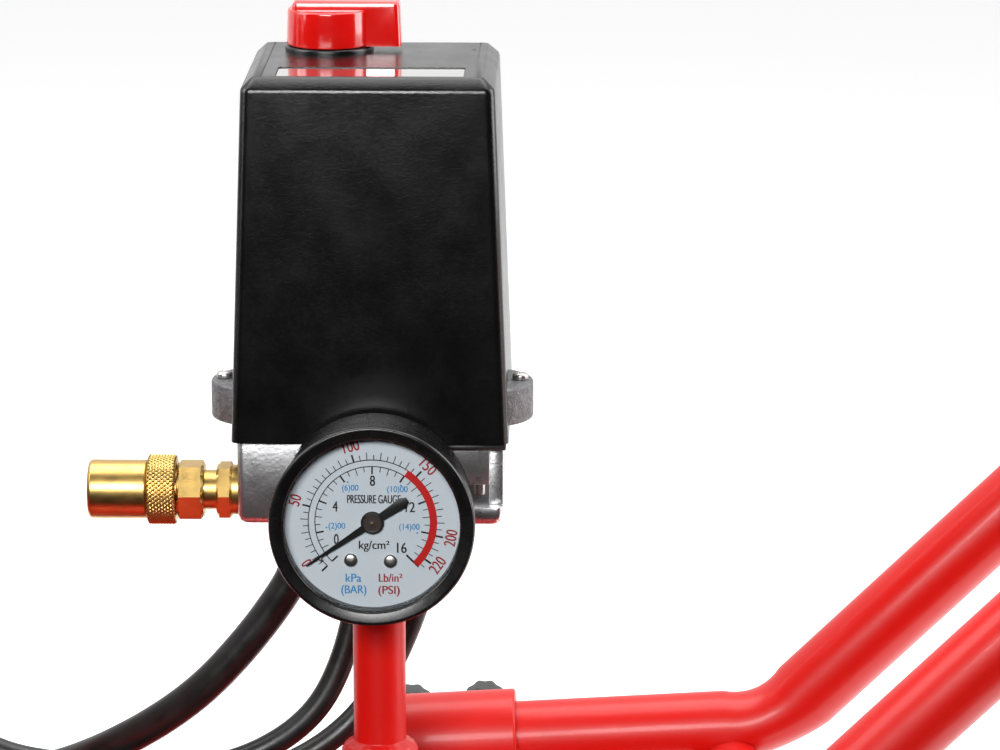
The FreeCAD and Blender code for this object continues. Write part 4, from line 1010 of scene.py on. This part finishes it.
def dialTick(ink, degrees, start, end, width):
    # A radial mark on the dial from one radius to another
    bm = printBuffer(ink)
    a = math.radians(degrees)
    along, across = Vector((math.cos(a), math.sin(a))), Vector((-math.sin(a), math.cos(a)))
    corners = [along * start - across * width / 2, along * end - across * width / 2,
               along * end + across * width / 2, along * start + across * width / 2]
    low = [dialAt(c.x, c.y, -0.05) for c in corners]
    high = [dialAt(c.x, c.y, 0.0) for c in corners]
    loftRings(bm, [low, high])


def dialArc(ink, fromDegrees, toDegrees, inner, outer):
    bm = printBuffer(ink)
    count = 140
    rings = []
    for radius, lift in ((inner, -0.05), (inner, 0.01), (outer, 0.01), (outer, -0.05)):
        ring = []
        for k in range(count + 1):
            a = math.radians(fromDegrees + (toDegrees - fromDegrees) * k / count)
            ring.append(bm.verts.new(dialAt(radius * math.cos(a), radius * math.sin(a), lift)))
        rings.append(ring)
    for a, b in zip(rings, rings[1:] + rings[:1]):
        for k in range(count):
            bm.faces.new((a[k], a[k + 1], b[k + 1], b[k]))
    for k in (0, count):
        bm.faces.new([ring[k] for ring in rings])


def wordMesh(words):
    data = bpy.data.curves.new("words", "FONT")
    data.body = words
    data.size = 1.0
    data.extrude = 0.01
    holder = bpy.data.objects.new("words", data)
    scene.collection.objects.link(holder)
    bpy.context.view_layer.update()
    mesh = bpy.data.meshes.new_from_object(holder.evaluated_get(bpy.context.evaluated_depsgraph_get()))
    bpy.data.objects.remove(holder)
    bpy.data.curves.remove(data)
    spots = np.array([vert.co for vert in mesh.vertices])
    return mesh, spots.min(0), spots.max(0)


sampleMesh, sampleLow, sampleHigh = wordMesh("8")
digitHeight = sampleHigh[1] - sampleLow[1]
bpy.data.meshes.remove(sampleMesh)


def dialText(ink, words, x, z, height, width, turn=0.0):
    # The height is that of a digit; the strokes are widened by printing twice, a hair apart
    mesh, low, high = wordMesh(words)
    scaleUp = height / digitHeight
    weight = 0.14 if height > 2.5 else 0.09
    scaleAcross = (width - weight) / (high[0] - low[0])
    centre = (low + high) / 2
    angle = math.radians(turn)
    flat = [vert.co.copy() for vert in mesh.vertices]
    for side, lift in ((-0.5, 0.0), (0.5, 0.004)):
        for vert, spot in zip(mesh.vertices, flat):
            px, pz = (spot.x - centre[0]) * scaleAcross + side * weight, (spot.y - centre[1]) * scaleUp
            rx, rz = px * math.cos(
                angle
            ) - pz * math.sin(angle), px * math.sin(angle) + pz * math.cos(angle)
            vert.co = dialAt(x + rx, z + rz, lift if spot.z > 0 else -0.05)
        printBuffer(ink).from_mesh(mesh)
    bpy.data.meshes.remove(mesh)


def gaugeDial():
    v = gaugeLook
    disc = [(0, 0.8), (29.0, 0.8), (29.0, 0), (0, 0)]
    dial = turnedPiece(
        "gaugeDial", [(r * mm, z * mm) for r, z in disc], at(0, v["dialY"], 0), "y", "frame", "dialWhite",
        128, rounding=0
    )
    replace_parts(dial, "gauge_dial")
    inner, outer = v["innerCircle"], v["outerCircle"]
    band = v["zero"] - v["perUnit"] * 10
    for radius in (inner, outer):
        dialArc("inkBlack", v["zero"], band, radius - v["line"] / 2, radius + v["line"] / 2)
    dialArc("bandRed", band, -45, inner - 0.1, outer + 0.15)
    for step in range(33):
        value = step / 2
        degrees = v["zero"] - v["perUnit"] * value
        thick = step % 4 == 0
        reach = 2.5 if thick else (2.3 if step % 2 == 0 else 1.7)
        dialTick("inkBlack", degrees, inner, inner - reach, 0.55 if thick else 0.27)
    dialTick("inkBlack", -45, 15.0, outer + 0.3, 0.6)
    for psi in range(0, 226, 5):
        degrees = v["zero"] - v["perUnit"] * psi / v["psiPerUnit"]
        thick = psi in (0, 50, 100, 150, 200, 220)
        reach = 2.5 if psi % 10 == 0 else 1.7
        dialTick("inkBlack", degrees, outer, outer + reach, 0.6 if thick else 0.27)
    for words, x, z, width in (
        ("0", -11.4, -5.6, 1.55), ("4", -11.7, 5.1, 1.65), ("8", 0.1, 13.5, 1.65), ("12", 11.9, 5.0, 3.0),
        ("16", 9.2, -8.3, 3.1)
    ):
        dialText("inkBlack", words, x, z, 3.35, width)
    dialText("inkBlack", "PRESSURE GAUGE", 0.5, 7.5, 2.75, 16.9)
    dialText("inkBlack", "kg/cm²", 0.5, -7.8, 2.75, 9.7)
    for words, x, z, width in (
        ("(2)00", -11.2, -1.5, 5.3), ("(6)00", -6.9, 10.9, 5.2), ("(10)00", 7.9, 10.5, 6.5),
        ("(14)00", 11.6, -1.7, 6.5)
    ):
        dialText("inkBlue", words, x, z, 1.95, width)
    for x, z in ((-14.5, -1.8), (-7.7, 13.0), (9.0, 12.0), (14.1, -3.4)):
        dialTick(
            "inkBlue", math.degrees(math.atan2(z, x)), math.hypot(x, z) - 0.25, math.hypot(x, z) + 0.25, 0.5
        )
    for words, x, z, width in (("kPa", -6.1, -18.2, 5.0), ("(BAR)", -6.0, -22.4, 8.0)):
        dialText("inkBlue", words, x, z, 2.7, width)
    for words, x, z, width in (("Lb/in²", 5.6, -18.1, 7.5), ("(PSI)", 5.1, -22.5, 6.8)):
        dialText("inkRed", words, x, z, 2.7, width)
    for words, x, z, width, turn in (
        ("0", -20.9, -13.4, 1.4, 125), ("50", -24.3, 7.1, 3.6, 74), ("100", -6.6, 24.6, 5.2, 15),
        ("150", 17.6, 18.1, 5.2, -44), ("200", 24.6, -5.0, 5.4, 79), ("220", 20.4, -13.9, 5.4, 55)
    ):
        dialText("inkRed", words, x, z, 3.6, width, turn)
    for ink, bm in printJoin.items():
        mesh = bpy.data.meshes.new("dial" + ink)
        bm.to_mesh(mesh)
        bm.free()
        newPiece("dial" + ink[0].upper() + ink[1:], mesh, "frame", ink)


def gaugeCase():
    v = gaugeLook
    front = at(0, v["front"], 0)
    rim, window = v["radius"], v["window"]
    ring = [
        (window, 3.1), (window, 1.6), (window + 0.6, 0.9), (rim - 1.2, 0.05), (rim - 0.5, 0.15), (rim, 0.9),
        (rim, 7.4), (rim - 0.4, 8.0), (rim - 1.2, 8.0), (rim - 1.2, 3.4)
    ]
    bezel = turnedPiece(
        "gaugeBezel", [(r * mm, d * mm) for r, d in ring], front, "y", "frame", "gaugeBlack", 192,
        closed=True, rounding=0.0003
    )
    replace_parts(bezel, "gauge_bezel")
    shell = [
        (27.75, 8.7), (27.75, 3.5), (31.0, 3.5), (31.0, 24.0), (30.0, 25.0), (6.7, 25.0), (6.7, 23.4),
        (29.0, 23.4), (29.0, 8.9)
    ]
    case = turnedPiece(
        "gaugeCase", [(r * mm, d * mm) for r, d in shell], front, "y", "frame", "gaugeBlack", 160,
        closed=True, rounding=0.0003
    )
    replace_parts(case, "gauge_case")
    glass = [(0, 3.0), (27.6, 3.0), (27.6, 4.6), (0, 4.6)]
    lens = turnedPiece(
        "gaugeLens", [(r * mm, d * mm) for r, d in glass], front, "y", "frame", "lens", 128, rounding=0.0002
    )
    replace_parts(lens, "gauge_lens")
    dialFront = at(0, v["dialY"], 0)
    for x, z, label in ((-6.9, -12.4, "Left"), (5.6, -12.7, "Right")):
        head = [(0, 0), (2.2, 0), (2.2, 0.45), (1.9, 0.8), (1.1, 1.1), (0, 1.2)]
        place = dialFront + Vector((x * mm, 0, z * mm))
        screw = turnedPiece(
            "dialScrew" + label, [(r * mm, d * mm) for r, d in head], place, "-y", "frame", "nickel", 48
        )
        combine(
            screw,
            crossRecess(place + Vector((0, -1.15 * mm, 0)), (0.25, -1, 0.1), 2.1 * mm, 0.55 * mm, 0.8 * mm)
        )
    stop = [(0, 0), (0.55, 0), (0.55, 1.6), (0.35, 1.9), (0, 1.9)]
    turnedPiece(
            "stopPin", [(r * mm, d * mm) for r, d in stop], dialFront + Vector((-16.3 * mm, 0, -11.9 * mm)),
            "-y", "frame", "nickel", 24
        )


def gaugePointer():
    v = gaugeLook
    outline = [
        (25.3, -0.22), (25.3, 0.22), (3.0, 1.15), (-3.2, 1.25), (-11.6, 1.75), (-13.4, 0.9), (-13.4, -0.9),
        (-11.6, -1.75), (-3.2, -1.25), (3.0, -1.15)
    ]
    angle = math.radians(214.2)
    bm = bmesh.new()
    rings = []
    for lift, inset in ((0.55, 1.0), (0.62, 1.0), (1.0, 1.0), (1.07, 0.985)):
        ring = []
        for px, pz in outline:
            px, pz = px * inset, pz * (inset if inset == 1.0 else 0.93)
            ring.append(
                dialAt(
                    px * math.cos(angle) - pz * math.sin(angle),
                    px * math.sin(angle) + pz * math.cos(angle), lift
                )
            )
        rings.append(ring)
    loftRings(bm, rings)
    place = dialAt(0, 0)
    pointer = newPiece(
        "gaugePointer", meshFrom(bm, "gaugePointer"), "pointer", "pointerBlack"
    )
    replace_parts(pointer, "gauge_pointer")
    hub = [(0, 0.4), (3.65, 0.4), (3.65, 1.1), (3.4, 1.35), (3.0, 1.35), (3.0, 1.25), (0, 1.25)]
    turnedPiece(
            "pointerHub", [(r * mm, d * mm) for r, d in hub], place, "-y", "pointer", "pointerBlack", 96,
            rounding=0.00015
        )
    cap = [(0, 1.2), (2.95, 1.2), (2.95, 1.5), (2.8, 1.56), (2.6, 1.5), (0.6, 1.5), (0.5, 1.6), (0, 1.6)]
    turnedPiece(
            "pointerCap", [(r * mm, d * mm) for r, d in cap], place, "-y", "pointer", "hubBrown", 96,
            rounding=0.00008
        )
    pin = [(0, 1.5), (0.42, 1.5), (0.42, 1.62), (0, 1.66)]
    turnedPiece(
            "pointerPin", [(r * mm, d * mm) for r, d in pin], place, "-y", "pointer", "brass", 32,
            rounding=0.00003
        )
    arbor = [(0, 0), (1.05, 0), (1.05, 9.0), (0, 9.0)]
    turnedPiece(
            "pointerArbor", [(r * mm, d * mm) for r, d in arbor], at(0, v["dialY"] - 0.6, 0), "y",
            "pointer", "steelGround", 24
        )


gaugeDial()
gaugeCase()
gaugePointer()
print("gauge ready")

# Brass safety valve

valveLook = {"start": -44.3, "teeth": 50, "toothDepth": 0.55, "toothPitch": 1.9}


def safetyValve():
    v = valveLook
    place = at(v["start"], 0, 0)
    core = [
        (0, -7.8), (5.8, -7.8), (5.8, -0.1), (8.1, 0.0), (8.1, 2.8), (6.6, 3.1), (6.4, 3.2), (6.4, 11.8),
        (6.9, 12.1), (7.2, 20.4), (7.2, 30.1), (9.2, 30.2), (9.5, 30.6), (9.5, 48.2), (8.8, 49.0),
        (3.2, 49.0), (2.8, 48.4), (0, 48.4)
    ]
    body = turnedPiece(
        "safetyValve", [(r * mm, d * mm) for r, d in core], place, "-x", "frame", "brass", 128
    )
    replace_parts(body, "safety_valve")
    for label, flats, start, end in (("Inner", 16.4, 2.4, 7.6), ("Outer", 17.2, 11.7, 20.4)):
        reach = flats / 2 / math.cos(math.pi / 6)
        nut = [
            (6.0, start), (flats / 2 - 0.2, start), (reach + 0.1, start + 0.9), (reach + 0.1, end - 0.9),
            (flats / 2 - 0.2, end), (6.0, end)
        ]
        toViewer = turnTo("-x").inverted().to_3x3() @ Vector((0, -1, 0))
        shape = hexShape(flats * mm, 6, -math.atan2(toViewer.y, toViewer.x))
        piece = turnedPiece(
            "valveHex" + label, [(r * mm, d * mm) for r, d in nut], place, "-x", "frame", "brass", 144,
            shape, rounding=0.0001, sharp=25
        )

    def knurl(radius, along, angle):
        share = max(0.0, min(1.0, (radius - 10.5 * mm) / (0.4 * mm)))
        around, length = angle * v["teeth"] / (2 * math.pi), along / (v["toothPitch"] * mm)
        rising = abs(((around + length) % 1) * 2 - 1)
        falling = abs(((around - length) % 1) * 2 - 1)
        return radius - v["toothDepth"] * mm * share * max(rising, falling)

    ring = [(7.7, 20.7), (10.7, 20.7), (11.35, 21.2)]
    ring += [(11.35, 21.2 + 8.2 * k / 40) for k in range(1, 41)] + [(10.7, 29.9), (7.7, 29.9)]
    ring = turnedPiece(
        "safetyRing", [(r * mm, d * mm) for r, d in ring], place, "-x", "relief_ring", "brass",
        v["teeth"] * 8, knurl, rounding=0.0, sharp=60
    )
    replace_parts(ring, "safety_valve_ring")


safetyValve()

# Riser, handle and its clamps

tubeLook = {
    "spread": 58.5, "radius": 12.4, "wall": 1.8, "drop": 105.3, "tilt": 3.44, "bendX": 130, "rise": 44.4,
    "gripX": 300, "flatten": 0.13, "beadRipple": 0.2
}


def armHeight(x):
    return -tubeLook["drop"] + x * math.tan(math.radians(tubeLook["tilt"]))


def riser():
    v = tubeLook

    def ripple(radius, along, angle):
        share = max(0.0, 1 - abs(along + 85.2 * mm) / (1.6 * mm))
        return radius + share * v["beadRipple"] * mm * math.sin(angle * 21 + math.sin(angle * 3) * 2)

    outside = [
        (8.55, -2.7), (8.55, -83.6), (9.0, -84.0), (9.9, -84.5), (11.2, -85.2), (12.0, -86.4),
        (12.45, -87.0), (12.45, -111.2), (8.7, -111.2), (8.7, -103.9), (6.3, -103.9), (6.3, -2.7)
    ]
    pipe = turnedPiece(
        "riserPipe", [(r * mm, z * mm) for r, z in outside], at(0, 0, 0), "z", "frame", "redPaint", 96,
        ripple, closed=True, rounding=0.0003, sharp=50
    )
    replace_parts(pipe, "riser_pipe")


def handle():
    v = tubeLook
    start, bend, grip = -13.9, v["bendX"], v["gripX"]
    gripZ = armHeight(bend) + (grip - bend) * math.tan(math.radians(v["rise"]))
    corners = [
        at(start, -v["spread"], armHeight(start)), at(bend, -v["spread"], armHeight(bend)),
        at(grip, -v["spread"], gripZ), at(grip, v["spread"], gripZ), at(bend, v["spread"], armHeight(bend)),
        at(start, v["spread"], armHeight(start))
    ]
    path = arcPath(corners, [42 * mm, 28 * mm, 28 * mm, 42 * mm])
    bm = bmesh.new()
    sweepTube(bm, path, v["radius"] * mm, (v["radius"] - v["wall"]) * mm, v["flatten"], 72)
    bmesh.ops.recalc_face_normals(bm, faces=bm.faces)
    tube = newPiece("handleTube", meshFrom(bm, "handleTube"), "handle", "redPaint", sharp=50)
    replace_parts(tube, "handle_tube")
    braceX = 117
    brace = [(12.9, -47.5), (12.9, 47.5)]
    profile = [(0, -47.6)] + [(r, y) for r, y in brace] + [(0, 47.6)]
    turnedPiece(
            "handleBrace", [(r * mm, y * mm) for r, y in profile], at(braceX, 0, armHeight(braceX) - 14),
            "y", "handle", "redPaint", 96, rounding=0.001
        )

    def ribs(radius, along, angle):
        return radius - (
            0.5 * mm if radius > 16 * mm and (abs(along) * 1000) % 6 < 1.4 and abs(along) < 27 * mm else 0
        )

    foam = [
        (12.7, -29.4), (15.6, -29.4), (16.4, -28.6)
    ] + [(16.4, -28 + k * 0.5) for k in range(113)] + [(16.4, 28.6), (15.6, 29.4), (12.7, 29.4)]
    cover = turnedPiece(
        "handleGrip", [(r * mm, y * mm) for r, y in foam], at(grip, 0, gripZ), "y", "handle", "softRubber",
        72, ribs, rounding=0.0
    )
    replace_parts(cover, "handle_grip")


def clamps():
    v = tubeLook
    tilt = math.radians(v["tilt"])
    direction = Vector((math.cos(tilt), 0, math.sin(tilt)))
    sleeve = [(12.62, 0), (16.2, 0), (16.8, 0.6), (16.8, 49.5), (16.2, 50.1), (12.62, 50.1)]
    first = None
    for side, label in ((-1, "Front"), (1, "Rear")):
        place = at(-6, v["spread"] * side, armHeight(-6))
        piece = turnedPiece(
            "clampSleeve" + label, [(r * mm, d * mm) for r, d in sleeve], place, direction, "frame",
            "redPaint", 96, closed=True, rounding=0.0007, sharp=50
        )
        first = first or piece
        bm = bmesh.new()
        blockMesh(bm, at(1.2, v["spread"] * side - 3, -152), at(36.9, v["spread"] * side + 3, -119))
        stand = newPiece("clampStand" + label, meshFrom(bm, "clampStand"), "frame", "redPaint")
        bevelled(stand, 1.2 * mm, 3)
        for x, number in ((6.4, 1), (31.8, 2)):
            outward = "y" if side > 0 else "-y"
            centre = at(x, v["spread"] * side, armHeight(x))
            boss = [(0, 15.4), (5.9, 15.4), (5.9, 20.6), (5.4, 21.1), (0, 21.1)]
            turnedPiece(
                    f"clampBoss{label}{number}", [(r * mm, d * mm) for r, d in boss], centre, outward,
                    "frame", "redPaint", 48
                )

            def lobes(radius, along, angle):
                return radius - (0.55 * mm * (0.5 - 0.5 * math.cos(angle * 10)) if radius > 6.6 * mm else 0)

            knob = [
                (0, 12.9), (2.9, 12.9), (2.9, 33.6), (6.6, 33.8), (7.6, 34.8), (7.6, 43.6), (6.8, 44.7),
                (3.0, 44.8), (0, 44.8)
            ]
            body = f"clamp_{'front' if side < 0 else 'rear'}_{number}"
            screw = turnedPiece(
                f"clampScrew{label}{number}", [(r * mm, d * mm) for r, d in knob], centre, outward, body,
                "blackPlastic", 80, lobes
            )
            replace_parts(screw, f"clamp_screw_{'front' if side < 0 else 'rear'}_{number}")
    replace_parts(first, "handle_sleeves")


riser()
handle()
clamps()
print("riser and handle ready")

# Cords

cordLook = {
    "mains": 11.5, "motor": 8.3, "hose": 8.0, "coilY": 300.0, "entry": 83.4, "outerTurn": 71.2,
    "innerTurn": 59.6, "lowTurn": 6.0, "highTurn": 17.3, "leadLength": 2.15
}


def cordCurve(name, points, diameter, body="frame"):
    data = bpy.data.curves.new(name, "CURVE")
    data.dimensions = "3D"
    data.bevel_depth = diameter / 2 * mm
    data.bevel_resolution = 8
    data.resolution_u = 10
    data.use_fill_caps = True
    spline = data.splines.new("NURBS")
    spline.points.add(len(points) - 1)
    for point, place in zip(spline.points, points):
        point.co = (*place, 1.0)
    spline.order_u = 3
    spline.use_endpoint_u = True
    piece = bpy.data.objects.new(name, data)
    scene.collection.objects.link(piece)
    data.materials.append(materials["cordSheath"])
    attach(piece, body)
    return piece


def coilPoints(coilX):
    # The lead's turns on the floor: in from the outside, a second turn inside it, then up and out on top
    v = cordLook
    outer, inner, low, high = v["outerTurn"], v["innerTurn"], v["lowTurn"], v["highTurn"]
    steps = 24
    spread = 1 / math.cos(math.pi / steps)

    def ease(turn, start, end):
        share = max(0.0, min(1.0, (turn - start) / (end - start)))
        return 0.5 - 0.5 * math.cos(math.pi * share)

    points = []
    for k in range(1, int(steps * 3.25) + 1):
        turn = k / steps
        radius = v["entry"] + (
            outer - v["entry"]
        ) * ease(turn, 0, 0.22) + (inner - outer) * ease(turn, 1.0, 1.22)
        radius += (outer - inner) * ease(turn, 2.55, 2.78)
        height = low + (high - low) * ease(turn, 1.78, 2.0)
        angle = 2 * math.pi * turn
        arm = Vector((math.cos(angle), math.sin(angle), 0)) * radius * spread * mm
        points.append(Vector((coilX, v["coilY"] * mm, height * mm)) + arm)
    return points


def mainsLead():
    v = cordLook
    route = [
        (-25, 42, -2.6), (-25, 42, -32), (-41, 41, -58), (-66, 41, -86), (-104, 54, -111), (-136, 92, -129),
        (-150, 140, -182), (-153, 166, -260), (-155, 172, -340), (-159, 180, -406), (-166, 198, -446),
        (-176, 228, -464), (-184, 264, -466), (-188, 292, -466)
    ]
    points = [at(*p) for p in route]
    coilX = middle("mains_coil").x
    points += coilPoints(coilX)
    plugLow, plugHigh = boxOf("mains_plug")
    plugX = coilX - 97.5 * mm
    topY, plugZ, bend = (v["coilY"] + v["outerTurn"]) * mm, 14 * mm, 30 * mm
    points[-1].y = topY
    points.append(Vector((coilX - 30 * mm, topY, v["highTurn"] * mm)))
    for k in range(0, 7):
        angle = math.pi / 2 + math.pi / 2 * k / 6
        z = v["highTurn"] * mm + (plugZ - v["highTurn"] * mm) * k / 6
        points.append(
            Vector((plugX + bend + bend * math.cos(angle) * 1.01, topY - bend + bend * math.sin(angle), z))
        )
    faceY = plugHigh.y
    points.append(Vector((plugX, faceY + 12 * mm, plugZ)))
    points.append(Vector((plugX, faceY - 6 * mm, plugZ)))
    lead = cordCurve("mainsLead", points, v["mains"])
    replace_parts(lead, "mains_lead", "mains_coil")

    def rings(radius, along, angle):
        return radius - (
            0.6 * mm if radius > 6.5 * mm and (along * 1000) % 4 < 1.2 and along < 26 * mm else 0
        )

    sleeve = [(5.7, 0)] + [(6.3 + k * 0.06, 0.4 + k * 0.5) for k in range(54)] + [(9.6, 28.2), (5.7, 28.2)]
    taper = turnedPiece(
        "plugRelief", [(r * mm, d * mm) for r, d in sleeve], (plugX, faceY + 27 * mm, plugZ), "-y", "frame",
        "softRubber", 48, rings, rounding=0.0
    )
    plug = mainsPlug(plugLow, plugHigh, plugX, plugZ)
    return lead, [taper, *plug]


def mainsPlug(low, high, plugX, plugZ):
    # A moulded two-pin plug whose lead leaves at the side
    bm = bmesh.new()
    bodyLow = plugX - 18 * mm
    cy = (low.y + high.y) / 2
    rings = []
    for x, inset, corner in (
        (0, 2.2, 5), (1.0, 0.8, 6), (3.0, 0.0, 6.5), (25, 0.6, 7), (32, 2.4, 7), (35.2, 5.6, 6),
        (36, 8.0, 4.5)
    ):
        flat = ringOf((28 - inset * 2) * mm, (26 - inset * 2) * mm, corner * mm, 0, 0, 0, 6)
        rings.append([Vector((bodyLow + x * mm, cy + p.x, low.z + 13 * mm + p.y)) for p in flat])
    loftRings(bm, rings)
    body = newPiece("mainsPlug", meshFrom(bm, "mainsPlug"), "frame", "blackPlastic", sharp=40)
    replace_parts(body, "mains_plug")
    parts = [body]
    for side, label in ((-1, "A"), (1, "B")):
        pin = [(0, -3), (2.4, -3), (2.4, 17.2), (1.7, 18.6), (0, 18.9)]
        place = (bodyLow, cy + side * 9.5 * mm, plugZ)
        parts.append(
            turnedPiece(
                "plugPin" + label, [(r * mm, d * mm) for r, d in pin], place, "-x", "frame", "nickel", 40
            )
        )
    for k in range(4):
        bm = bmesh.new()
        x = bodyLow + (8 + k * 4.2) * mm
        rings = [ringOf(1.6 * mm, 15 * mm, 0.7 * mm, x, cy, low.z + z * mm, 3) for z in (25.2, 25.8)]
        loftRings(bm, rings)
        parts.append(
            newPiece(f"plugRib{k}", meshFrom(bm, "plugRib"), "frame", "blackPlastic")
        )
    return parts


def heldCords():
    v = cordLook
    motor = [
        (-6, 42, -2.6), (-6, 42, -26), (-12, 36, -66), (-26, 31, -91), (-58, 28, -106), (-100, 44, -110),
        (-138, 50, -106), (-157, 48, -82), (-165, 41, -44), (-180, 28, 2), (-184, 12, 50), (-192, 0, 84),
        (-214, -5, 102), (-238, -5, 102)
    ]
    hose = [
        (18, 42, -2.6), (18, 42, -28), (5, 30, -66), (-14, 20, -91), (-46, 14, -105), (-78, 5, -101),
        (-104, 0, -95), (-129, 0, -95)
    ]
    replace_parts(cordCurve("motorLead", [at(*p) for p in motor], v["motor"]), "motor_lead")
    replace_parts(cordCurve("unloaderHose", [at(*p) for p in hose], v["hose"]), "unloader_hose")


lead, leadParts = mainsLead()
heldCords()
print("cords ready")

# Receiver seams, wheels and the other CAD pieces

tankLook = {"radius": 150.0, "axisZ": -262.0, "seams": (-550.0, 49.9), "bead": 1.4}


def weldBead(name, place, axis, radius, width, height, ripples, body="frame"):
    # A rippled bead round a seam

    def ripple(r, along, angle):
        return r + (
            0.28 * mm * math.sin(
                angle * ripples + math.sin(angle * 7) * 1.5
            ) if r > radius * mm + 0.2 * mm else 0
        )

    section = [
        (radius - 0.6, -width), (radius + height * 0.5, -width * 0.7), (radius + height, 0),
        (radius + height * 0.5, width * 0.7), (radius - 0.6, width)
    ]
    bead = turnedPiece(
        name, [(r * mm, d * mm) for r, d in section], place, axis, body, "redPaint", 480, ripple,
        rounding=0.0012, sharp=60
    )
    return bead


def receiverSeams():
    v = tankLook
    for x, label in zip(v["seams"], ("Rear", "Front")):
        weldBead("tankSeam" + label, at(x, 0, v["axisZ"]), "x", v["radius"], 4.0, v["bead"] - 1.5, 240)
    bm = bmesh.new()
    rng.seed(11)
    count = 260
    section = [(-4.2, -0.5), (-2.2, 0.35), (0, 0.75), (2.2, 0.35), (4.2, -0.5)]
    rings = []
    for k in range(count + 1):
        x = v["seams"][0] + (v["seams"][1] - v["seams"][0]) * k / count
        wave = 0.18 * math.sin(k * 2.1) + rng.uniform(-0.08, 0.08)
        ring = []
        for across, lift in section:
            angle = math.radians(-58) + across / v["radius"]
            reach = v["radius"] - 0.9 + lift + (wave if lift > 0 else 0)
            ring.append(bm.verts.new(at(x, -reach * math.cos(angle), v["axisZ"] + reach * math.sin(angle))))
        rings.append(ring)
    for a, b in zip(rings, rings[1:]):
        for k in range(len(section) - 1):
            bm.faces.new((a[k], a[k + 1], b[k + 1], b[k]))
    newPiece("tankLongSeam", meshFrom(bm, "tankLongSeam"), "frame", "redPaint", sharp=60)


wheelLook = {"halfWidth": 22.0, "blocks": 44, "groove": 2.6}


def tyres():
    v = wheelLook
    for label in ("front", "rear"):
        low, high = boxOf("tyre_" + label)
        centre = (low + high) / 2

        def tread(radius, along, angle):
            if radius < 93 * mm:
                return radius
            share = min(1.0, (radius - 93 * mm) / (3 * mm))
            row = 0.5 if along > 0 else 0.0
            cell = (angle * v["blocks"] / (2 * math.pi) + row) % 1
            deep = 1.0 if cell < 0.26 or abs(along) < 1.4 * mm else 0.0
            return radius - deep * share * v["groove"] * mm

        half = v["halfWidth"] - 0.1
        section = [
            (62.2, -half + 6), (66, -half + 2), (78, -half), (88, -half + 1.2), (94, -half + 3.5),
            (98.6, -half + 9), (99.8, -11), (99.9, -5), (99.95, -1.5), (99.95, -1.3), (99.95, 1.3),
            (99.95, 1.5), (99.9, 5), (99.8, 11), (98.6, half - 9), (94, half - 3.5), (88, half - 1.2),
            (78, half), (66, half - 2), (62.2, half - 6)
        ]
        profile = []
        for a, b in zip(section, section[1:]):
            parts = max(1, int(math.dist(a, b) / 1.6))
            profile += [
                (a[0] + (b[0] - a[0]) * k / parts, a[1] + (b[1] - a[1]) * k / parts)
                for k in range(parts)
            ]
        profile.append(section[-1])
        bm = bmesh.new()
        points = [(r * mm, d * mm) for r, d in profile]
        lathe(bm, points + [points[0]], centre, "y", v["blocks"] * 10, tread)
        bmesh.ops.remove_doubles(bm, verts=bm.verts, dist=1e-6)
        tyre = newPiece(
            "tyre" + label.capitalize(), meshFrom(bm, "tyre"), "wheel_" + label, "tyreRubber",
            sharp=40
        )
        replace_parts(tyre, "tyre_" + label)


receiverSeams()
tyres()

nodeLooks = {
    "tank_shell": "redPaint", "support_brackets": "redPaint", "pump_deck": "redPaint",
    "wheel_axles": "steelGround", "wheel_rim_front": "wheelPlastic", "wheel_rim_rear": "wheelPlastic",
    "foot_pads": "softRubber", "drain_valve": "brass", "drain_knob": "blackPlastic",
    "outlet_valve": "brass", "outlet_lever": "redKnob", "crankcase": "castIron", "cylinder": "castIron",
    "cylinder_head": "aluminium", "head_bolts": "nickel", "crankshaft": "steelGround",
    "piston": "aluminium", "intake_filter": "blackPaint", "flywheel": "castIron",
    "motor_pulley": "castIron", "drive_belt": "softRubber", "guard_back": "blackPaint",
    "guard_cover": "blackPaint", "motor_frame": "aluminium", "motor_rotor": "steelGround",
    "fan_cowl": "blackPaint", "terminal_box": "blackPlastic", "discharge_pipe": "aluminium",
    "check_valve": "brass", "contact_block": "blackPlastic", "cable_glands": "blackPlastic",
    "gauge_movement": "brass"
}
for name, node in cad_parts.items():
    if node.hide_render:
        continue
    look = materials[nodeLooks[name]]
    if node.data.materials:
        for index in range(len(node.data.materials)):
            node.data.materials[index] = look
    else:
        node.data.materials.append(look)
print("receiver, wheels and CAD pieces ready")
